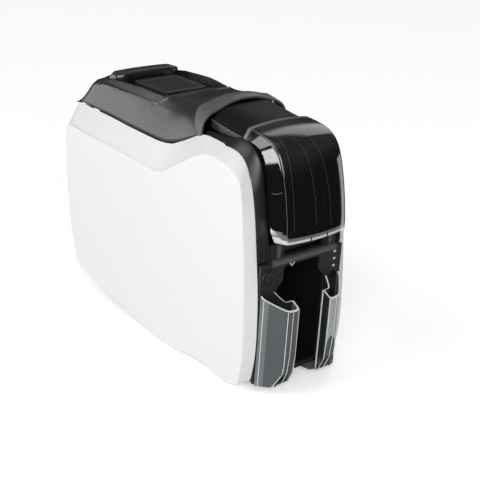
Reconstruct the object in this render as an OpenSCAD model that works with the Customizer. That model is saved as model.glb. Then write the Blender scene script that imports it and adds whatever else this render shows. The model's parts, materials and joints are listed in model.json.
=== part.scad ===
// Compact desktop ID card printer with a top-loading card hopper and a front output bin.
// The front of the machine is -Y, its right side seen from the front is +X, up is +Z.
// Origin: centre of the footprint, on the plane the four feet stand on.

/* [Casing] */
// Half width to the flat outer side faces
side_x = 79; // [78.5:0.5:80]
// Wall thickness of the white side panels
panel_wall = 2.5; // [2:0.25:3]
// Wall thickness of the lid, band, cap and hopper cover
skin = 2.6; // [2.2:0.2:2.8]

/* [Cards] */
// Width of a card
card_w = 54; // [53.8:0.1:54.2]
// Length of the card weight
weight_len = 74; // [66:2:76]

/* [Drive] */
// Outer radius of the rubber rollers
roller_r = 7.8; // [7:0.2:7.8]
// Radius of the roller shafts
shaft_r = 3; // [2.6:0.1:3]
// Face width of the gears
gear_w = 5; // [4:0.5:5.5]
// Radial running clearance of every shaft in its bore
run = 0.05; // [0.03:0.01:0.08]
// Clearance between gear teeth
backlash = 0.24; // [0.2:0.02:0.3]

/* [Controls] */
// Radius of the power button
button_r = 4.2; // [3.6:0.2:4.4]
// Radius of the lock plug
lock_r = 9.5; // [8.5:0.5:9.5]

/* [Hidden] */

$fn = 48;
seam_x = 63.5;          // inner edge of the white panels
body_x = 63.1;          // half width of the black body between them
path_z = 164;           // height of the card path
axle_z = 156;           // height of every roller shaft
lid_axis = [188, 246];  // lid hinge, Y and Z
cover_axis = [-176, 186]; // hopper cover hinge, Y and Z

// roller and gear stations along Y, with tooth counts
pickup_y = -128;  pickup_n = 28;
feed_idler_y = -94; feed_idler_n = 40;
entry_y = -62;    entry_n = 24;
entry_idler_y = -32.5; entry_idler_n = 35;
platen_y = 0;     platen_n = 30;
exit_idler_y = 32.5; exit_idler_n = 35;
exit_y = 62;      exit_n = 24;
pinion_n = 16;    pinion_z = axle_z - (entry_idler_n + pinion_n) / 2;

black = [0.09, 0.09, 0.10];
dark = [0.20, 0.21, 0.22];
grey = [0.42, 0.43, 0.44];
white = [0.93, 0.93, 0.93];
steel = [0.66, 0.67, 0.69];
smoke = [0.30, 0.32, 0.34, 0.55];
rubber = [0.12, 0.12, 0.12];

// ---------- helpers ----------
function flat(l) = [for (a = l) for (b = a) b];
function mixv(a, b, t) = a + (b - a) * t;
function cr(a, b, c, d, t) = 0.5 * (2 * b + (c - a) * t + (2 * a - 5 * b + 4 * c - d) * t * t
  + (3 * b - a - 3 * c + d) * t * t * t);
function smooth_loop(p, k) = let (n = len(p)) [for (i = [0:n-1]) for (j = [0:k-1])
  cr(p[(i + n - 1) % n], p[i], p[(i + 1) % n], p[(i + 2) % n], j / k)];
// outline moved inwards by d; the loop runs counter-clockwise in Y, Z
function inset(p, d) = let (n = len(p)) [for (i = [0:n-1])
  let (t = p[(i + 1) % n] - p[(i + n - 1) % n], u = t / norm(t)) p[i] + d * [-u[1], u[0]]];
function at_x(p, x) = [for (q = p) [x, q[0], q[1]]];

// closed loft through rings of equal length, each counter-clockwise seen from the last one
module loft(rings) {
  n = len(rings[0]); m = len(rings);
  polyhedron(points = flat(rings), faces = concat(
    [[for (i = [0:n-1]) i]], [[for (i = [n-1:-1:0]) (m - 1) * n + i]],
    flat([for (r = [0:m-2]) flat([for (i = [0:n-1]) let (j = (i + 1) % n)
      [[r*n+i, (r+1)*n+j, r*n+j], [r*n+i, (r+1)*n+i, (r+1)*n+j]]])])), convexity = 10);
}
// sheet of thickness t under a grid of points whose normals face out
function gnorm(g, i, j) = let (n = len(g), m = len(g[0]),
  a = g[min(i + 1, n - 1)][j] - g[max(i - 1, 0)][j],
  b = g[i][min(j + 1, m - 1)] - g[i][max(j - 1, 0)], c = cross(b, a)) c / norm(c);
module sheet(g, t) {
  n = len(g); m = len(g[0]); o = n * m;
  inner = [for (i = [0:n-1]) for (j = [0:m-1]) g[i][j] - t * gnorm(g, i, j)];
  polyhedron(points = concat(flat(g), inner), faces = concat(
    flat([for (i = [0:n-2]) flat([for (j = [0:m-2]) let (a = i*m+j, b = (i+1)*m+j)
      [[a, b+1, a+1], [a, b, b+1], [o+a, o+a+1, o+b+1], [o+a, o+b+1, o+b]]])]),
    flat([for (j = [0:m-2]) let (b = (n-1)*m+j)
      [[j, o+j+1, o+j], [j, j+1, o+j+1], [b, o+b+1, b+1], [b, o+b, o+b+1]]]),
    flat([for (i = [0:n-2]) let (a = i*m, b = i*m+m, c = i*m+m-1, d = i*m+2*m-1)
      [[a, o+b, b], [a, o+a, o+b], [c, d, o+d], [c, o+d, o+c]]])), convexity = 10);
}
module yz(p, x0, x1) { translate([x0, 0, 0]) rotate([90, 0, 90]) linear_extrude(x1 - x0) polygon(p); }
module both() { children(); mirror([1, 0, 0]) children(); }
module block(x0, x1, y0, y1, z0, z1) { translate([x0, y0, z0]) cube([x1 - x0, y1 - y0, z1 - z0]); }
module xrod(x0, x1, y, z, r) { translate([x0, y, z]) rotate([0, 90, 0]) cylinder(h = x1 - x0, r = r); }
module yrod(y0, y1, x, z, r) { translate([x, y0, z]) rotate([-90, 0, 0]) cylinder(h = y1 - y0, r = r); }
module rblock(x, y0, y1, z0, z1, r) {
  translate([0, 0, z0]) linear_extrude(z1 - z0) union() {
    translate([-x + r, y0]) square([2 * x - 2 * r, y1 - y0]);
    translate([-x, y0 + r]) square([2 * x, y1 - y0 - 2 * r]);
    for (sx = [-1, 1]) for (y = [y0 + r, y1 - r]) translate([sx * (x - r), y]) circle(r);
  }
}
// coil spring along Z
module coil(x, y, z0, z1, r, w, turns) {
  s = 10; k = 6; n = turns * s;
  pts = [for (i = [0:n]) let (a = 360 * i / s, c = [r * cos(a), r * sin(a), z0 + w + (z1 - z0 - 2 * w) * i / n],
    e = [cos(a), sin(a), 0]) for (j = [0:k-1]) c + w * (cos(360 * j / k) * e + sin(360 * j / k) * [0, 0, 1])];
  translate([x, y, 0]) loft([for (i = [0:n]) [for (j = [k-1:-1:0]) pts[i * k + j]]]);
}
// involute gear: tooth centre at angle a
function inv_pt(rb, r, s) = let (c = rb / r, t = acos(c)) [r, s * (tan(t) * 180 / PI - t)];
module gear2d(n, a) {
  r = n / 2; rb = r * cos(20); ra = r + 0.9; rf = r - 1.15;
  base = tan(20) * 180 / PI - 20; half = 90 / n - backlash / 2 / r * 180 / PI + base;
  lo = max(rb + 0.01, rf + 0.1);
  tooth = [for (k = [0:4]) let (q = inv_pt(rb, lo + (ra - lo) * k / 4, 1)) [q[0], q[1] - half]];
  pts = [for (i = [0:n-1]) let (c = a + 360 * i / n) each concat(
    [[rf, c - half - 0.2]], [for (q = tooth) [q[0], c + q[1]]],
    [for (k = [4:-1:0]) [tooth[k][0], c - tooth[k][1]]], [[rf, c + half + 0.2]])];
  polygon([for (q = pts) q[0] * [cos(q[1]), sin(q[1])]]);
}
module gear(y, z, n, a, bore, hub = 0) {
  translate([47, y, z]) rotate([90, 0, 90]) difference() {
    union() { linear_extrude(gear_w) gear2d(n, a); if (hub > 0) cylinder(h = gear_w + 1, r = hub); }
    translate([0, 0, -1]) cylinder(h = gear_w + 4, r = bore);
  }
}
// phase of the gear at angle th from a gear of na teeth whose tooth centre is at aa
function mesh(aa, na, nb, th) = th + 180 + (180 - na * (aa - th)) / nb;
platen_a = 0;
entry_idler_a = mesh(platen_a, platen_n, entry_idler_n, 180);
exit_idler_a = mesh(platen_a, platen_n, exit_idler_n, 0);
entry_a = mesh(entry_idler_a, entry_idler_n, entry_n, 180);
exit_a = mesh(exit_idler_a, exit_idler_n, exit_n, 0);
feed_idler_a = mesh(entry_a, entry_n, feed_idler_n, 180);
pickup_a = mesh(feed_idler_a, feed_idler_n, pickup_n, 180);
pinion_a = mesh(entry_idler_a, entry_idler_n, pinion_n, -90);

// ---------- outlines, Y and Z ----------
// side panel: outline of the flat face, then of the inner seam, clockwise from the rear top
panel_pts = [[178,229,180,253], [119,225,120,252], [77,222,78,250], [35,220,37,249],
  [15,219,17,249], [1,220,1,251], [-14,226,-10,254], [-41,243,-35,266], [-67,259,-54,276],
  [-81,265,-68,280], [-96,267,-83,280], [-107,266,-99,279], [-118,264,-113,278],
  [-130,260,-126,275], [-137,256,-134,270], [-142,251,-139,264], [-146,243,-144,255],
  [-149,230,-149,243], [-154,199,-156,214], [-159,165,-163,172], [-163,130,-168,138],
  [-165,106,-171,112], [-167,69,-173,76], [-167,43,-173,48], [-164,16,-170,22],
  [-160,8,-166,12], [-147,4,-150,8], [-133,4,-134,8], [-115,8,-115,12], [-96,10,-96,15],
  [-77,9,-77,14], [-58,6,-58,10], [-38,3,-38,8], [-18,3,-18,8], [24,9,24,14], [67,17,67,22],
  [112,26,112,30], [148,35,147,39], [160,39,159,43], [168,46,167,50], [174,59,173,62],
  [182,85,181,87], [189,119,188,120], [193,146,192,147], [195.5,187,195,190],
  [196,212,196,230], [193,221,194,243], [187,227,189,250]];
face_line = smooth_loop([for (p = panel_pts) [p[0], p[1]]], 2);
seam_line = smooth_loop([for (p = panel_pts) [p[2], p[3]]], 2);
mid_line = [for (i = [0:len(face_line)-1]) mixv(seam_line[i], face_line[i], 0.5)];

// lid stations: y, then the heights of the seam, the ridge, the tray's rim and the crown
lid_st = [[-38,269,297,305.5,311], [-28,264,294.5,303.5,310], [-14,257.5,291.5,301,307.5],
  [0,253,289.8,299.3,305], [16,250.5,288.8,298.2,303], [30,250.3,288.4,297.8,302],
  [80,251.5,288,297.2,301], [120,253.5,287.4,295.8,299], [150,254,286.4,293.6,297],
  [163,254.5,283.5,289,292], [172,254.5,277.5,281,284], [180,254.5,269.5,272.5,274.5],
  [187,253.5,261.5,263.6,265], [192,252.5,256,257.4,258.4], [196,251.5,253,253.7,254.2]];
// cross-section: x, share of the seam-to-ridge height, of ridge-to-rim and of rim-to-crown
lid_cs = [[63,0,0,0], [62.3,0.15,0,0], [60.5,0.42,0,0], [57.9,0.72,0,0], [55.4,0.92,0,0],
  [54,1,0,0], [50,1,0.45,0], [46.5,1,0.9,0.05], [42,1,1,0.35], [30,1,1,0.68], [15,1,1,0.92]];
// the front edge of the lid runs forwards down its flanks, as the band does
function lean(y, k) = k * min(1, max(0, (-10 - y) / 28));
function lid_pt(s, c, sg) = let (d = lean(s[0], 1 - c[1]))
  [sg * c[0], s[0] - 15 * d, s[1] + 7 * d + (s[2] - s[1] - 7 * d) * c[1] + (s[3] - s[2]) * c[2] + (s[4] - s[3]) * c[3]];
function lid_row(s) = concat([for (c = lid_cs) lid_pt(s, c, -1)], [[0, s[0], s[4]]],
  [for (i = [len(lid_cs)-1:-1:0]) lid_pt(s, lid_cs[i], 1)]);

// hopper cover: profiles at the centre, front edge, corner and side, top rear to bottom
cov_c = [[-115.5,302.5], [-126,302], [-138,301], [-151,298.8], [-162,295], [-171,288],
  [-178,277], [-184.5,257], [-189.5,236], [-193,216], [-194.6,199], [-195.3,189], [-195.5,182]];
cov_e = [[-115.5,298.5], [-126,298], [-138,297], [-149,295], [-158,291.6], [-166,285.3],
  [-172.5,275], [-178.5,256], [-183.5,236], [-187.5,216], [-189.3,199], [-190,189], [-190.5,182]];
cov_g = [[-115.5,293.8], [-124,293], [-134,291.6], [-143,288.6], [-151,283.5], [-157.5,275.5],
  [-162,265], [-165.5,248], [-169.5,230], [-174.5,213], [-179.5,198], [-183.5,189], [-185.5,182]];
cov_b = [[-115.5,288.2], [-122,286.8], [-129,284.8], [-137,281], [-143,275], [-147.5,267],
  [-150.5,257], [-153,244], [-156,228], [-160.5,212], [-166.5,198.5], [-174,189], [-180,182]];
// bezel: edge beside the cover, then edge beside the white panel
bez_pts = [[-60,280,-60,273], [-84,280,-83,274], [-100,281.5,-99,275], [-115,287,-113,276.5],
  [-128,285,-126,274], [-137,281,-134,269], [-143,275,-139,263], [-148,266,-144,254],
  [-152,252,-149,242], [-155,235,-153,226], [-160,213,-157,206], [-166,195,-160,190],
  [-169,180,-162,178], [-171,160,-164,160]];
// top line of the body frame under the lid and bezel, then its sloping floor
frame_top = [[172,234], [172,248], [120,248], [78,246], [37,245], [17,245], [1,247], [-10,250],
  [-35,261], [-54,266], [-112,264], [-126,258], [-136,240], [-142,215], [-148,180], [-152,158], [-167,158]];
floor_line = [[-167,11], [-40,11], [24,17], [112,33], [150,42], [163,49]];
rear_line = [[163,46], [169,59], [177,85], [184,119], [188,146], [190.5,190], [190.5,235]];

// ---------- casing ----------
module panel(s) {
  f = face_line; q = seam_line; m = mid_line;
  w = panel_wall;
  mirror([s < 0 ? 1 : 0, 0, 0]) union() {
    loft([at_x(inset(f, w + 0.4), side_x - w), at_x(inset(m, w), 71), at_x(inset(q, w), seam_x),
      at_x(q, seam_x), at_x(m, 71), at_x(mixv(m, f, 0.96), side_x - 1.2), at_x(inset(f, 0.9), side_x)]);
    for (p = [[-100, 60], [-60, 210], [120, 80], [120, 200]]) xrod(62.6, side_x - w + 0.3, p[0], p[1], 4);
  }
}
module left_side_panel() { color(white) panel(-1); }
module right_side_panel() { color(white) panel(1); }

module base_pan() {
  color(black) difference() {
    yz([[-164,5], [108,5], [116,33.5], [112,32.8], [24,16.8], [-40,10.8], [-164,10.8]], -46, 46);
    yz([[-161,8], [105,8], [111,29], [111,34], [24,18], [-40,12], [-161,12]], -43, 43);
  }
}
module main_frame() {
  wall = concat(frame_top, floor_line, rear_line);
  color(black) union() {
    both() yz(wall, 60, 62.5);
    yz(concat(floor_line, [for (i = [5:-1:0]) floor_line[i] + [0, 2.5]]), -60.1, 60.1);
  }
}
module rear_panel() {
  color(black) difference() {
    union() {
      yz(concat([for (p = rear_line) p + [2.6, 0]], [for (i = [6:-1:0]) rear_line[i] - [0.4, 0]]), -59.8, 59.8);
      for (z = [208, 214, 220, 226]) block(-40, 40, 193, 194, z, z + 2);
    }
    block(-40.2, -23.8, 180, 200, 129.8, 144.2);
    block(-16.2, -3.8, 180, 200, 129.8, 141.2);
    yrod(180, 200, 14, 136, 5.7);
    block(30, 36, 180, 200, 131, 134.5);
    for (sx = [-1, 1]) { yrod(180, 200, sx * 50, 160, 1.6); yrod(180, 200, sx * 56, 219, 1.6); }
  }
}
module fascia_hole() {
  translate([0, -160, 0]) rotate([90, 0, 0]) linear_extrude(30)
    polygon([[-38,15.8], [38,15.8], [38,123], [28.5,133], [28.5,147], [25,150], [-25,150],
      [-28.5,147], [-28.5,133], [-38,123]]);
}
module front_fascia() {
  color(black) difference() {
    union() {
      block(-body_x, body_x, -172, -168.2, 10, 158);
      both() block(30, 51.4, -172, -168.2, 157.9, 180);
      block(-30, 30, -172, -168.2, 157.9, 163);
    }
    fascia_hole();
    yrod(-175, -160, -52, 142, lock_r + run);
    yrod(-175, -160, 52, 121, button_r + 0.3);
    for (z = [132, 141, 150]) block(50, 54, -175, -160, z - 1.2, z + 1.2);
  }
}
function toward(p, c, t) = [for (q = p) mixv(q, c, t)];
module feeder_bezel() {
  n = len(bez_pts);
  g = [for (i = [n-1:-1:0]) let (p = bez_pts[i]) [[53.4, p[0], p[1]],
    [58.5, (p[0] + p[2]) / 2 - 0.6, (p[1] + p[3]) / 2 + 0.8], [body_x, p[2], p[3]]]];
  color(dark) { sheet(g, 3.4); mirror([1, 0, 0]) sheet(g, 3.4); }
}
module feeder_sill() {
  color(black) union() {
    yz([[-172,153], [-172,163], [-176.5,163], [-178.5,161.5], [-178.5,157.5], [-176.5,155]], -47.5, 47.5);
    both() difference() {
      union() {
        yz([[-174.6,162.9], [-172,162.9], [-172,186], [-176,186], [-174.6,181]], 38, 42);
        xrod(38, 42, cover_axis[0], cover_axis[1], 4);
      }
      xrod(37, 43, cover_axis[0], cover_axis[1], 1.5 + run);
    }
  }
}
module output_bin() {
  color(black) union() {
    both() block(38.6, 40.6, -168, -95, 13.8, 146);
    block(-38.7, 38.7, -97, -95, 13.8, 138);
    block(-38.7, 38.7, -168, -96.9, 13.8, 15.8);
    yz([[-97,15.7], [-125,15.7], [-97,30]], -20, 20);
  }
}
wing_plan = [[61.5,-172.2], [62.3,-174], [60,-177.5], [45,-194], [39.5,-198.2], [29,-199.3],
  [24.6,-198], [23.5,-195], [23.5,-186.5], [25.9,-186.5], [25.9,-194.4], [29.4,-196.8], [38.5,-195.8],
  [43,-192.6], [58.5,-176], [59.4,-174], [59,-172.2]];
module wing() {
  intersection() {
    union() {
      translate([0, 0, 9]) linear_extrude(120) polygon(wing_plan);
      translate([0, 0, 9]) linear_extrude(2) polygon(concat([for (i = [0:7]) wing_plan[i]], [[16,-184], [13,-172.2]]));
    }
    yz([[-172,122], [-184,114], [-200.5,105], [-200.5,70], [-196.5,26], [-189,9], [-172,9]], 10, 70);
  }
}
module left_output_wing() { color(smoke) mirror([1, 0, 0]) wing(); }
module right_output_wing() { color(smoke) wing(); }
module wing_pegs() {
  color(black) both() for (z = [44, 100]) yrod(-176.5, -172, 50, z, 2.4);
}
module tap_cap() {
  st = [[-60.2,294.5,308.5], [-76,292,306.6], [-95,289.8,304.5], [-114,288.2,302.5]];
  xs = [-51.2, -49.5, -46, -41, -32, -18, 0, 18, 32, 41, 46, 49.5, 51.2];
  g = [for (s = [for (i = [3:-1:0]) st[i]]) concat([[-51.4, s[0], s[1] - 9.5]], [for (x = xs)
    [x, s[0], s[2] - (s[2] - s[1]) * pow(abs(x) / 51.2, 3.4)]], [[51.4, s[0], s[1] - 9.5]])];
  color(black) sheet(g, skin);
}
module saddle_band() {
  // y, seam, flank top and crown heights, and how far the row leans forwards at its foot
  st = [[-59.5,277,299,311,0], [-50,273,301,313,6], [-39,269,302.5,311.5,15]];
  cs = [[62.8,0,0], [62.4,0.3,0], [60.8,0.6,0], [57.5,0.82,0], [52,1,0], [40,1,0.35], [20,1,0.85]];
  pt = function(s, c, sg) let (d = 1 - c[1]) [sg * c[0], s[0] - s[4] * d,
    s[1] + s[4] / 2 * d + (s[2] - s[1] - s[4] / 2 * d) * c[1] + (s[3] - s[2]) * c[2]];
  row = function(s) concat([for (c = cs) pt(s, c, -1)], [[0, s[0], s[3]]],
    [for (i = [6:-1:0]) pt(s, cs[i], 1)]);
  color(grey) union() {
    sheet([for (s = st) row(s)], skin);
    both() block(20, 30, -51, -41, 300, 307.4);
  }
}

// ---------- frame and feed ----------
module chassis_plates() {
  p = [[-156,148], [-156,16], [-40,14], [24,20], [112,36], [146,44.5], [160,60], [166,120],
    [168,180], [168,232], [110,240], [20,240], [-60,240], [-80,200], [-86,170], [-150,170]];
  color(steel) both() difference() {
    yz(p, 44, 46);
    for (y = [pickup_y, entry_y, platen_y, exit_y]) xrod(43, 47, y, axle_z, 4.5);
    xrod(43, 47, entry_idler_y, pinion_z, 2.8);
    for (y = [20, 80, 130]) xrod(43, 47, y, 80, 14);
  }
}
module tie_bars() {
  color(steel) {
    for (p = [[-70,226], [150,70], [150,200], [20,110], [-80,110]]) xrod(-44, 44, p[0], p[1], 4);
    block(-52.1, 52.1, -112, -106, 268, 277);
  }
}
module shaft_bushes() {
  color([0.75,0.6,0.3]) both() for (y = [pickup_y, entry_y, platen_y, exit_y]) difference() {
    union() { xrod(43.0, 46.3, y, axle_z, 4.48); xrod(42.6, 43.9, y, axle_z, 5.5); }
    xrod(40, 50, y, axle_z, shaft_r + run);
  }
}
module feeder_tray() {
  color(black) difference() {
    union() {
      block(-42.4, 42.4, -168, -84, 160, 163.6);
      both() block(36, 42.4, -168, -140, 150, 160.1);
    }
    block(-16, 16, -138, -118, 150, 170);
  }
}
module card_guides() {
  gx = card_w / 2 + 0.6;
  color(black) union() {
    both() difference() {
      block(gx, gx + 2, -166, -86, 163.8, 244);
      yz([[-150,180], [-100,180], [-100,232], [-140,232]], gx - 1, gx + 3);
    }
    block(-gx - 0.1, gx + 0.1, -88, -86, 167, 244);
    both() block(gx + 1.9, 43.8, -92, -86, 163.8, 168);
  }
}
module card_weight() {
  color(dark) union() {
    difference() {
      block(-card_w / 2 + 0.4, card_w / 2 - 0.4, -91 - weight_len, -91, 165.4, 171);
      block(-17, 17, -91 - weight_len + 12, -103, 168, 172);
    }
    block(-6, 6, -91 - weight_len, -91 - weight_len + 6, 170.9, 180);
  }
}
module roller(y, half) {
  union() {
    xrod(-half, half, y, axle_z, roller_r);
    xrod(-47.5, 53.5, y, axle_z, shaft_r);
  }
}
module pickup_roller() { color(rubber) roller(pickup_y, 12); }
module entry_roller() { color(rubber) roller(entry_y, 26); }
module platen_roller() { color(rubber) roller(platen_y, 28.5); }
module exit_roller() { color(rubber) roller(exit_y, 26); }
module pickup_gear() { color(white) gear(pickup_y, axle_z, pickup_n, pickup_a, shaft_r, 5); }
module entry_gear() { color(white) gear(entry_y, axle_z, entry_n, entry_a, shaft_r, 5); }
module platen_gear() { color(white) gear(platen_y, axle_z, platen_n, platen_a, shaft_r, 5); }
module exit_gear() { color(white) gear(exit_y, axle_z, exit_n, exit_a, shaft_r, 5); }
module feed_idler() { color(white) gear(feed_idler_y, axle_z, feed_idler_n, feed_idler_a, 2.5 + run); }
module entry_idler() { color(white) gear(entry_idler_y, axle_z, entry_idler_n, entry_idler_a, 2.5 + run); }
module exit_idler() { color(white) gear(exit_idler_y, axle_z, exit_idler_n, exit_idler_a, 2.5 + run); }
module idler_studs() {
  color(steel) for (y = [feed_idler_y, entry_idler_y, exit_idler_y]) union() {
    xrod(46, 53.2, y, axle_z, 2.5);
    xrod(46, 46.8, y, axle_z, 4);
    xrod(53, 53.8, y, axle_z, 3.6);
  }
}
module drive_motor() {
  color(steel) difference() {
    union() {
      xrod(10, 43.9, entry_idler_y, pinion_z, 15);
      block(41.9, 43.9, entry_idler_y - 20, entry_idler_y + 20, pinion_z - 8, pinion_z + 8);
    }
    xrod(26, 50, entry_idler_y, pinion_z, 2 + run);
  }
}
module motor_pinion() {
  color([0.75,0.6,0.3]) union() {
    gear(entry_idler_y, pinion_z, pinion_n, pinion_a, 1);
    xrod(28, 53, entry_idler_y, pinion_z, 2);
  }
}

// ---------- ribbon ----------
module ribbon_cradle() {
  color(dark) union() {
    both() difference() {
      yz([[-70,188], [70,188], [70,206], [60,226], [-60,226], [-70,206]], 39, 41);
      for (y = [-45, 45]) xrod(38, 42, y, 206, 4 + run);
      yz([[-20,194], [20,194], [14,220], [-14,220]], 38, 42);
    }
    for (y = [-70, 66]) block(-39.1, 39.1, y, y + 4, 188, 193);
    both() for (y = [-66, 58]) block(40.9, 44, y, y + 8, 198, 204);
  }
}
module spool(y, r) {
  union() {
    xrod(-38.6, 38.6, y, 206, 7);
    xrod(-41.4, 41.4, y, 206, 4);
    xrod(-28, 28, y, 206, r);
    both() xrod(29, 30.5, y, 206, 16);
  }
}
module supply_spool() { color([0.16,0.14,0.30]) spool(45, 14.5); }
module takeup_spool() { color([0.16,0.14,0.30]) spool(-45, 9.5); }

// ---------- electronics ----------
module main_board() {
  color([0.08,0.32,0.18]) union() {
    block(-54, 44, 172.4, 174, 122, 222);
    for (sx = [-46, 38]) for (z = [150, 206]) yrod(173.9, 187.4, sx, z, 2.6);
    block(-44, -22, 169, 172.5, 160, 180);
    block(-8, 8, 168.6, 172.5, 158, 174);
    for (x = [16, 26, 36]) yrod(160, 172.5, x, 206, 4);
    block(-50, -20, 168.4, 172.5, 200, 208);
  }
}
module power_inlet() {
  color(black) difference() {
    union() { yrod(174, 192.6, 14, 136, 5.5); block(8.5, 19.5, 174, 184.2, 130.5, 141.5); }
    difference() { yrod(182, 194, 14, 136, 3.2); yrod(180, 192, 14, 136, 1); }
  }
}
module data_ports() {
  color(steel) {
    difference() { block(-40, -24, 174, 193, 130, 144); block(-37.9, -26.1, 181, 194, 132.5, 141); }
    difference() { block(-16, -4, 174, 193, 130, 141); block(-14.2, -5.8, 183, 194, 131.6, 139.4); }
  }
}
module status_lamps() {
  color([0.9,0.95,1]) for (z = [132, 141, 150]) block(50.1, 53.9, -172.3, -169, z - 1.1, z + 1.1);
}
module power_button() {
  color(dark) union() {
    yrod(-173.2, -166, 52, 121, button_r);
    yrod(-167, -166, 52, 121, button_r + 1.2);
  }
}
module lock_plug() {
  color(dark) difference() {
    union() { yrod(-174, -167.4, -52, 142, lock_r); block(-55, -49, -167.5, -164.6, 133.5, 146); }
    block(-53, -51, -175, -170.5, 136, 148);
  }
}
module casing_screws() {
  color(steel) {
    for (sx = [-1, 1]) for (p = [[50, 160], [56, 219]]) union() {
      yrod(193.2, 195, sx * p[0], p[1], 3.2);
      yrod(184, 193.3, sx * p[0], p[1], 1.5);
    }
    for (sx = [-1, 1]) for (y = [-60, 60]) translate([sx * 30, y, 3.2]) cylinder(h = 1.7, r = 3);
  }
}
module rubber_feet() {
  color(rubber) for (sx = [-1, 1]) for (y = [-146, 94]) translate([sx * 37, y, 0])
    union() { cylinder(h = 1.2, r = 7.2); translate([0, 0, 1.1]) cylinder(h = 3.9, r = 8); }
}

// ---------- lid ----------
module lid_shell() {
  g = [for (s = lid_st) lid_row(s)];
  color(dark) difference() {
    union() {
      sheet(g, skin);
      intersection() {
        rblock(48, 25, 153, 282.4, 312, 8);
        loft([for (s = lid_st) concat(lid_row(s), [[63, s[0], 240], [-63, s[0], 240]])]);
      }
      both() yz([[-51,296], [-51,300], [-36,300], [-36,307.6], [-14,304.2], [-14,296]], 20, 30);
    }
    difference() {
      rblock(45.4, 27.6, 150.4, 285, 320, 6);
      rblock(42, 124, 151, 284, 300, 5);
    }
    block(-3.9, 3.9, 84.1, 91.9, 280, 290);
  }
}
module lid_frame() {
  color(black) difference() {
    union() {
      rblock(56, -24, 176, 258, 262, 6);
      for (sx = [-1, 1]) for (y = [36, 142]) translate([sx * 45.6, y, 261.9]) cylinder(h = 20.4, r = 2.4);
    }
    rblock(30, 20, 74, 250, 270, 5);
    rblock(30, 104, 160, 250, 270, 5);
    both() block(37, 43, -21, 4, 250, 270);
  }
}
module lid_hinge_arms() {
  color(steel) both() difference() {
    union() {
      yz([[158,258], [176,258], [193,250], [192,244], [184,242], [172,254], [158,255]], 44.5, 49);
      xrod(44.5, 49, lid_axis[0], lid_axis[1], 5.4);
    }
    xrod(44, 50, lid_axis[0], lid_axis[1], 2.5 + run);
  }
}
module lid_hinge_brackets() {
  color(steel) both() difference() {
    union() {
      yz([[180,214], [189.9,214], [189.9,236], [193,244], [188,251], [183,246]], 50, 53);
      xrod(50, 53, lid_axis[0], lid_axis[1], 5.4);
      block(50, 60, 186, 189.9, 214, 224);
    }
    yrod(180, 192, 56, 219, 1.6);
    xrod(49, 54, lid_axis[0], lid_axis[1], 2.5 + run);
  }
}
module lid_hinge_pin() { color(steel) xrod(-54, 54, lid_axis[0], lid_axis[1], 2.5); }
module head_bracket() {
  color(steel) difference() {
    union() {
      block(-34, 34, -9, 9, 256, 257.9);
      both() block(32, 34, -9, 9, 186, 256.1);
      both() block(34, 36.4, -9, 9, 256, 257.9);
    }
    both() block(31, 35, -1.6, 1.6, 186.5, 200);
  }
}
module print_head() {
  color([0.75,0.76,0.78]) union() {
    difference() {
      block(-29, 29, -6.5, 6.5, 176, 205);
      for (y = [-4.6, -1.9, 0.8, 3.5]) block(-30, 30, y, y + 1.4, 190, 206);
    }
    yz([[-6.5,176.1], [6.5,176.1], [2,167], [1,165.2], [-1.5,165.2], [-4,168]], -28.5, 28.5);
    both() xrod(28.9, 33.5, 0, 193, 1.5);
  }
}
module head_springs() {
  color(steel) both() coil(18, 0, 205.05, 255.9, 3.6, 0.6, 7);
}
module latch_pad() {
  color(dark) union() {
    rblock(34, 50, 117, 290, 294.6, 5);
    for (i = [0:8]) block(-27, 27, 60 + i * 5.2, 62.2 + i * 5.2, 294.5, 295.8);
    yz([[84.5,266.2], [91.5,273.2], [91.5,290.1], [84.5,290.1]], -3.5, 3.5);
  }
}
module latch_bar() {
  color(steel) union() {
    yz([[85.6,266.1], [92.9,273.4], [100,273.4], [100,264], [85.6,264]], -8, 8);
    block(-42, 42, 100, 106, 264, 268);
    block(-8.1, 8.1, 99.9, 100.2, 264, 268);
    both() block(38, 42, -15, 100.1, 264, 268);
    both() yz([[-15,264.1], [-10,264.1], [-10,238], [-19,238], [-15,242]], 38, 42);
  }
}
module latch_catches() {
  color(steel) both() union() {
    block(37, 43.9, -32, -21.5, 243, 245.2);
    block(42, 43.9, -32, -21.5, 226, 243.1);
  }
}

// ---------- hopper cover ----------
module hopper_cover() {
  n = len(cov_c);
  g = [for (i = [0:n-1]) let (c = cov_c[i], e = cov_e[i], k = cov_g[i], b = cov_b[i],
    half = [[51.4, b], [50.6, mixv(b, k, 0.45)], [48.6, k], [46.4, mixv(k, e, 0.6)], [43, e],
      [32, mixv(c, e, 0.56)], [16, mixv(c, e, 0.14)]])
    concat([for (h = half) [-h[0], h[1][0], h[1][1]]], [[0, c[0], c[1]]],
      [for (j = [len(half)-1:-1:0]) [half[j][0], half[j][1][0], half[j][1][1]]])];
  color(smoke) sheet([for (i = [n-1:-1:0]) g[i]], skin);
}
module cover_hinge_arms() {
  color(dark) both() difference() {
    union() {
      xrod(43, 46, cover_axis[0], cover_axis[1], 3.4);
      yz([[-187,189.6], [-176,189.4], [-176,183], [-187,184]], 43, 46);
    }
    xrod(42, 47, cover_axis[0], cover_axis[1], 1.5 + run);
  }
}
module cover_hinge_pins() { color(steel) both() xrod(36.5, 46.6, cover_axis[0], cover_axis[1], 1.5); }

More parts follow.
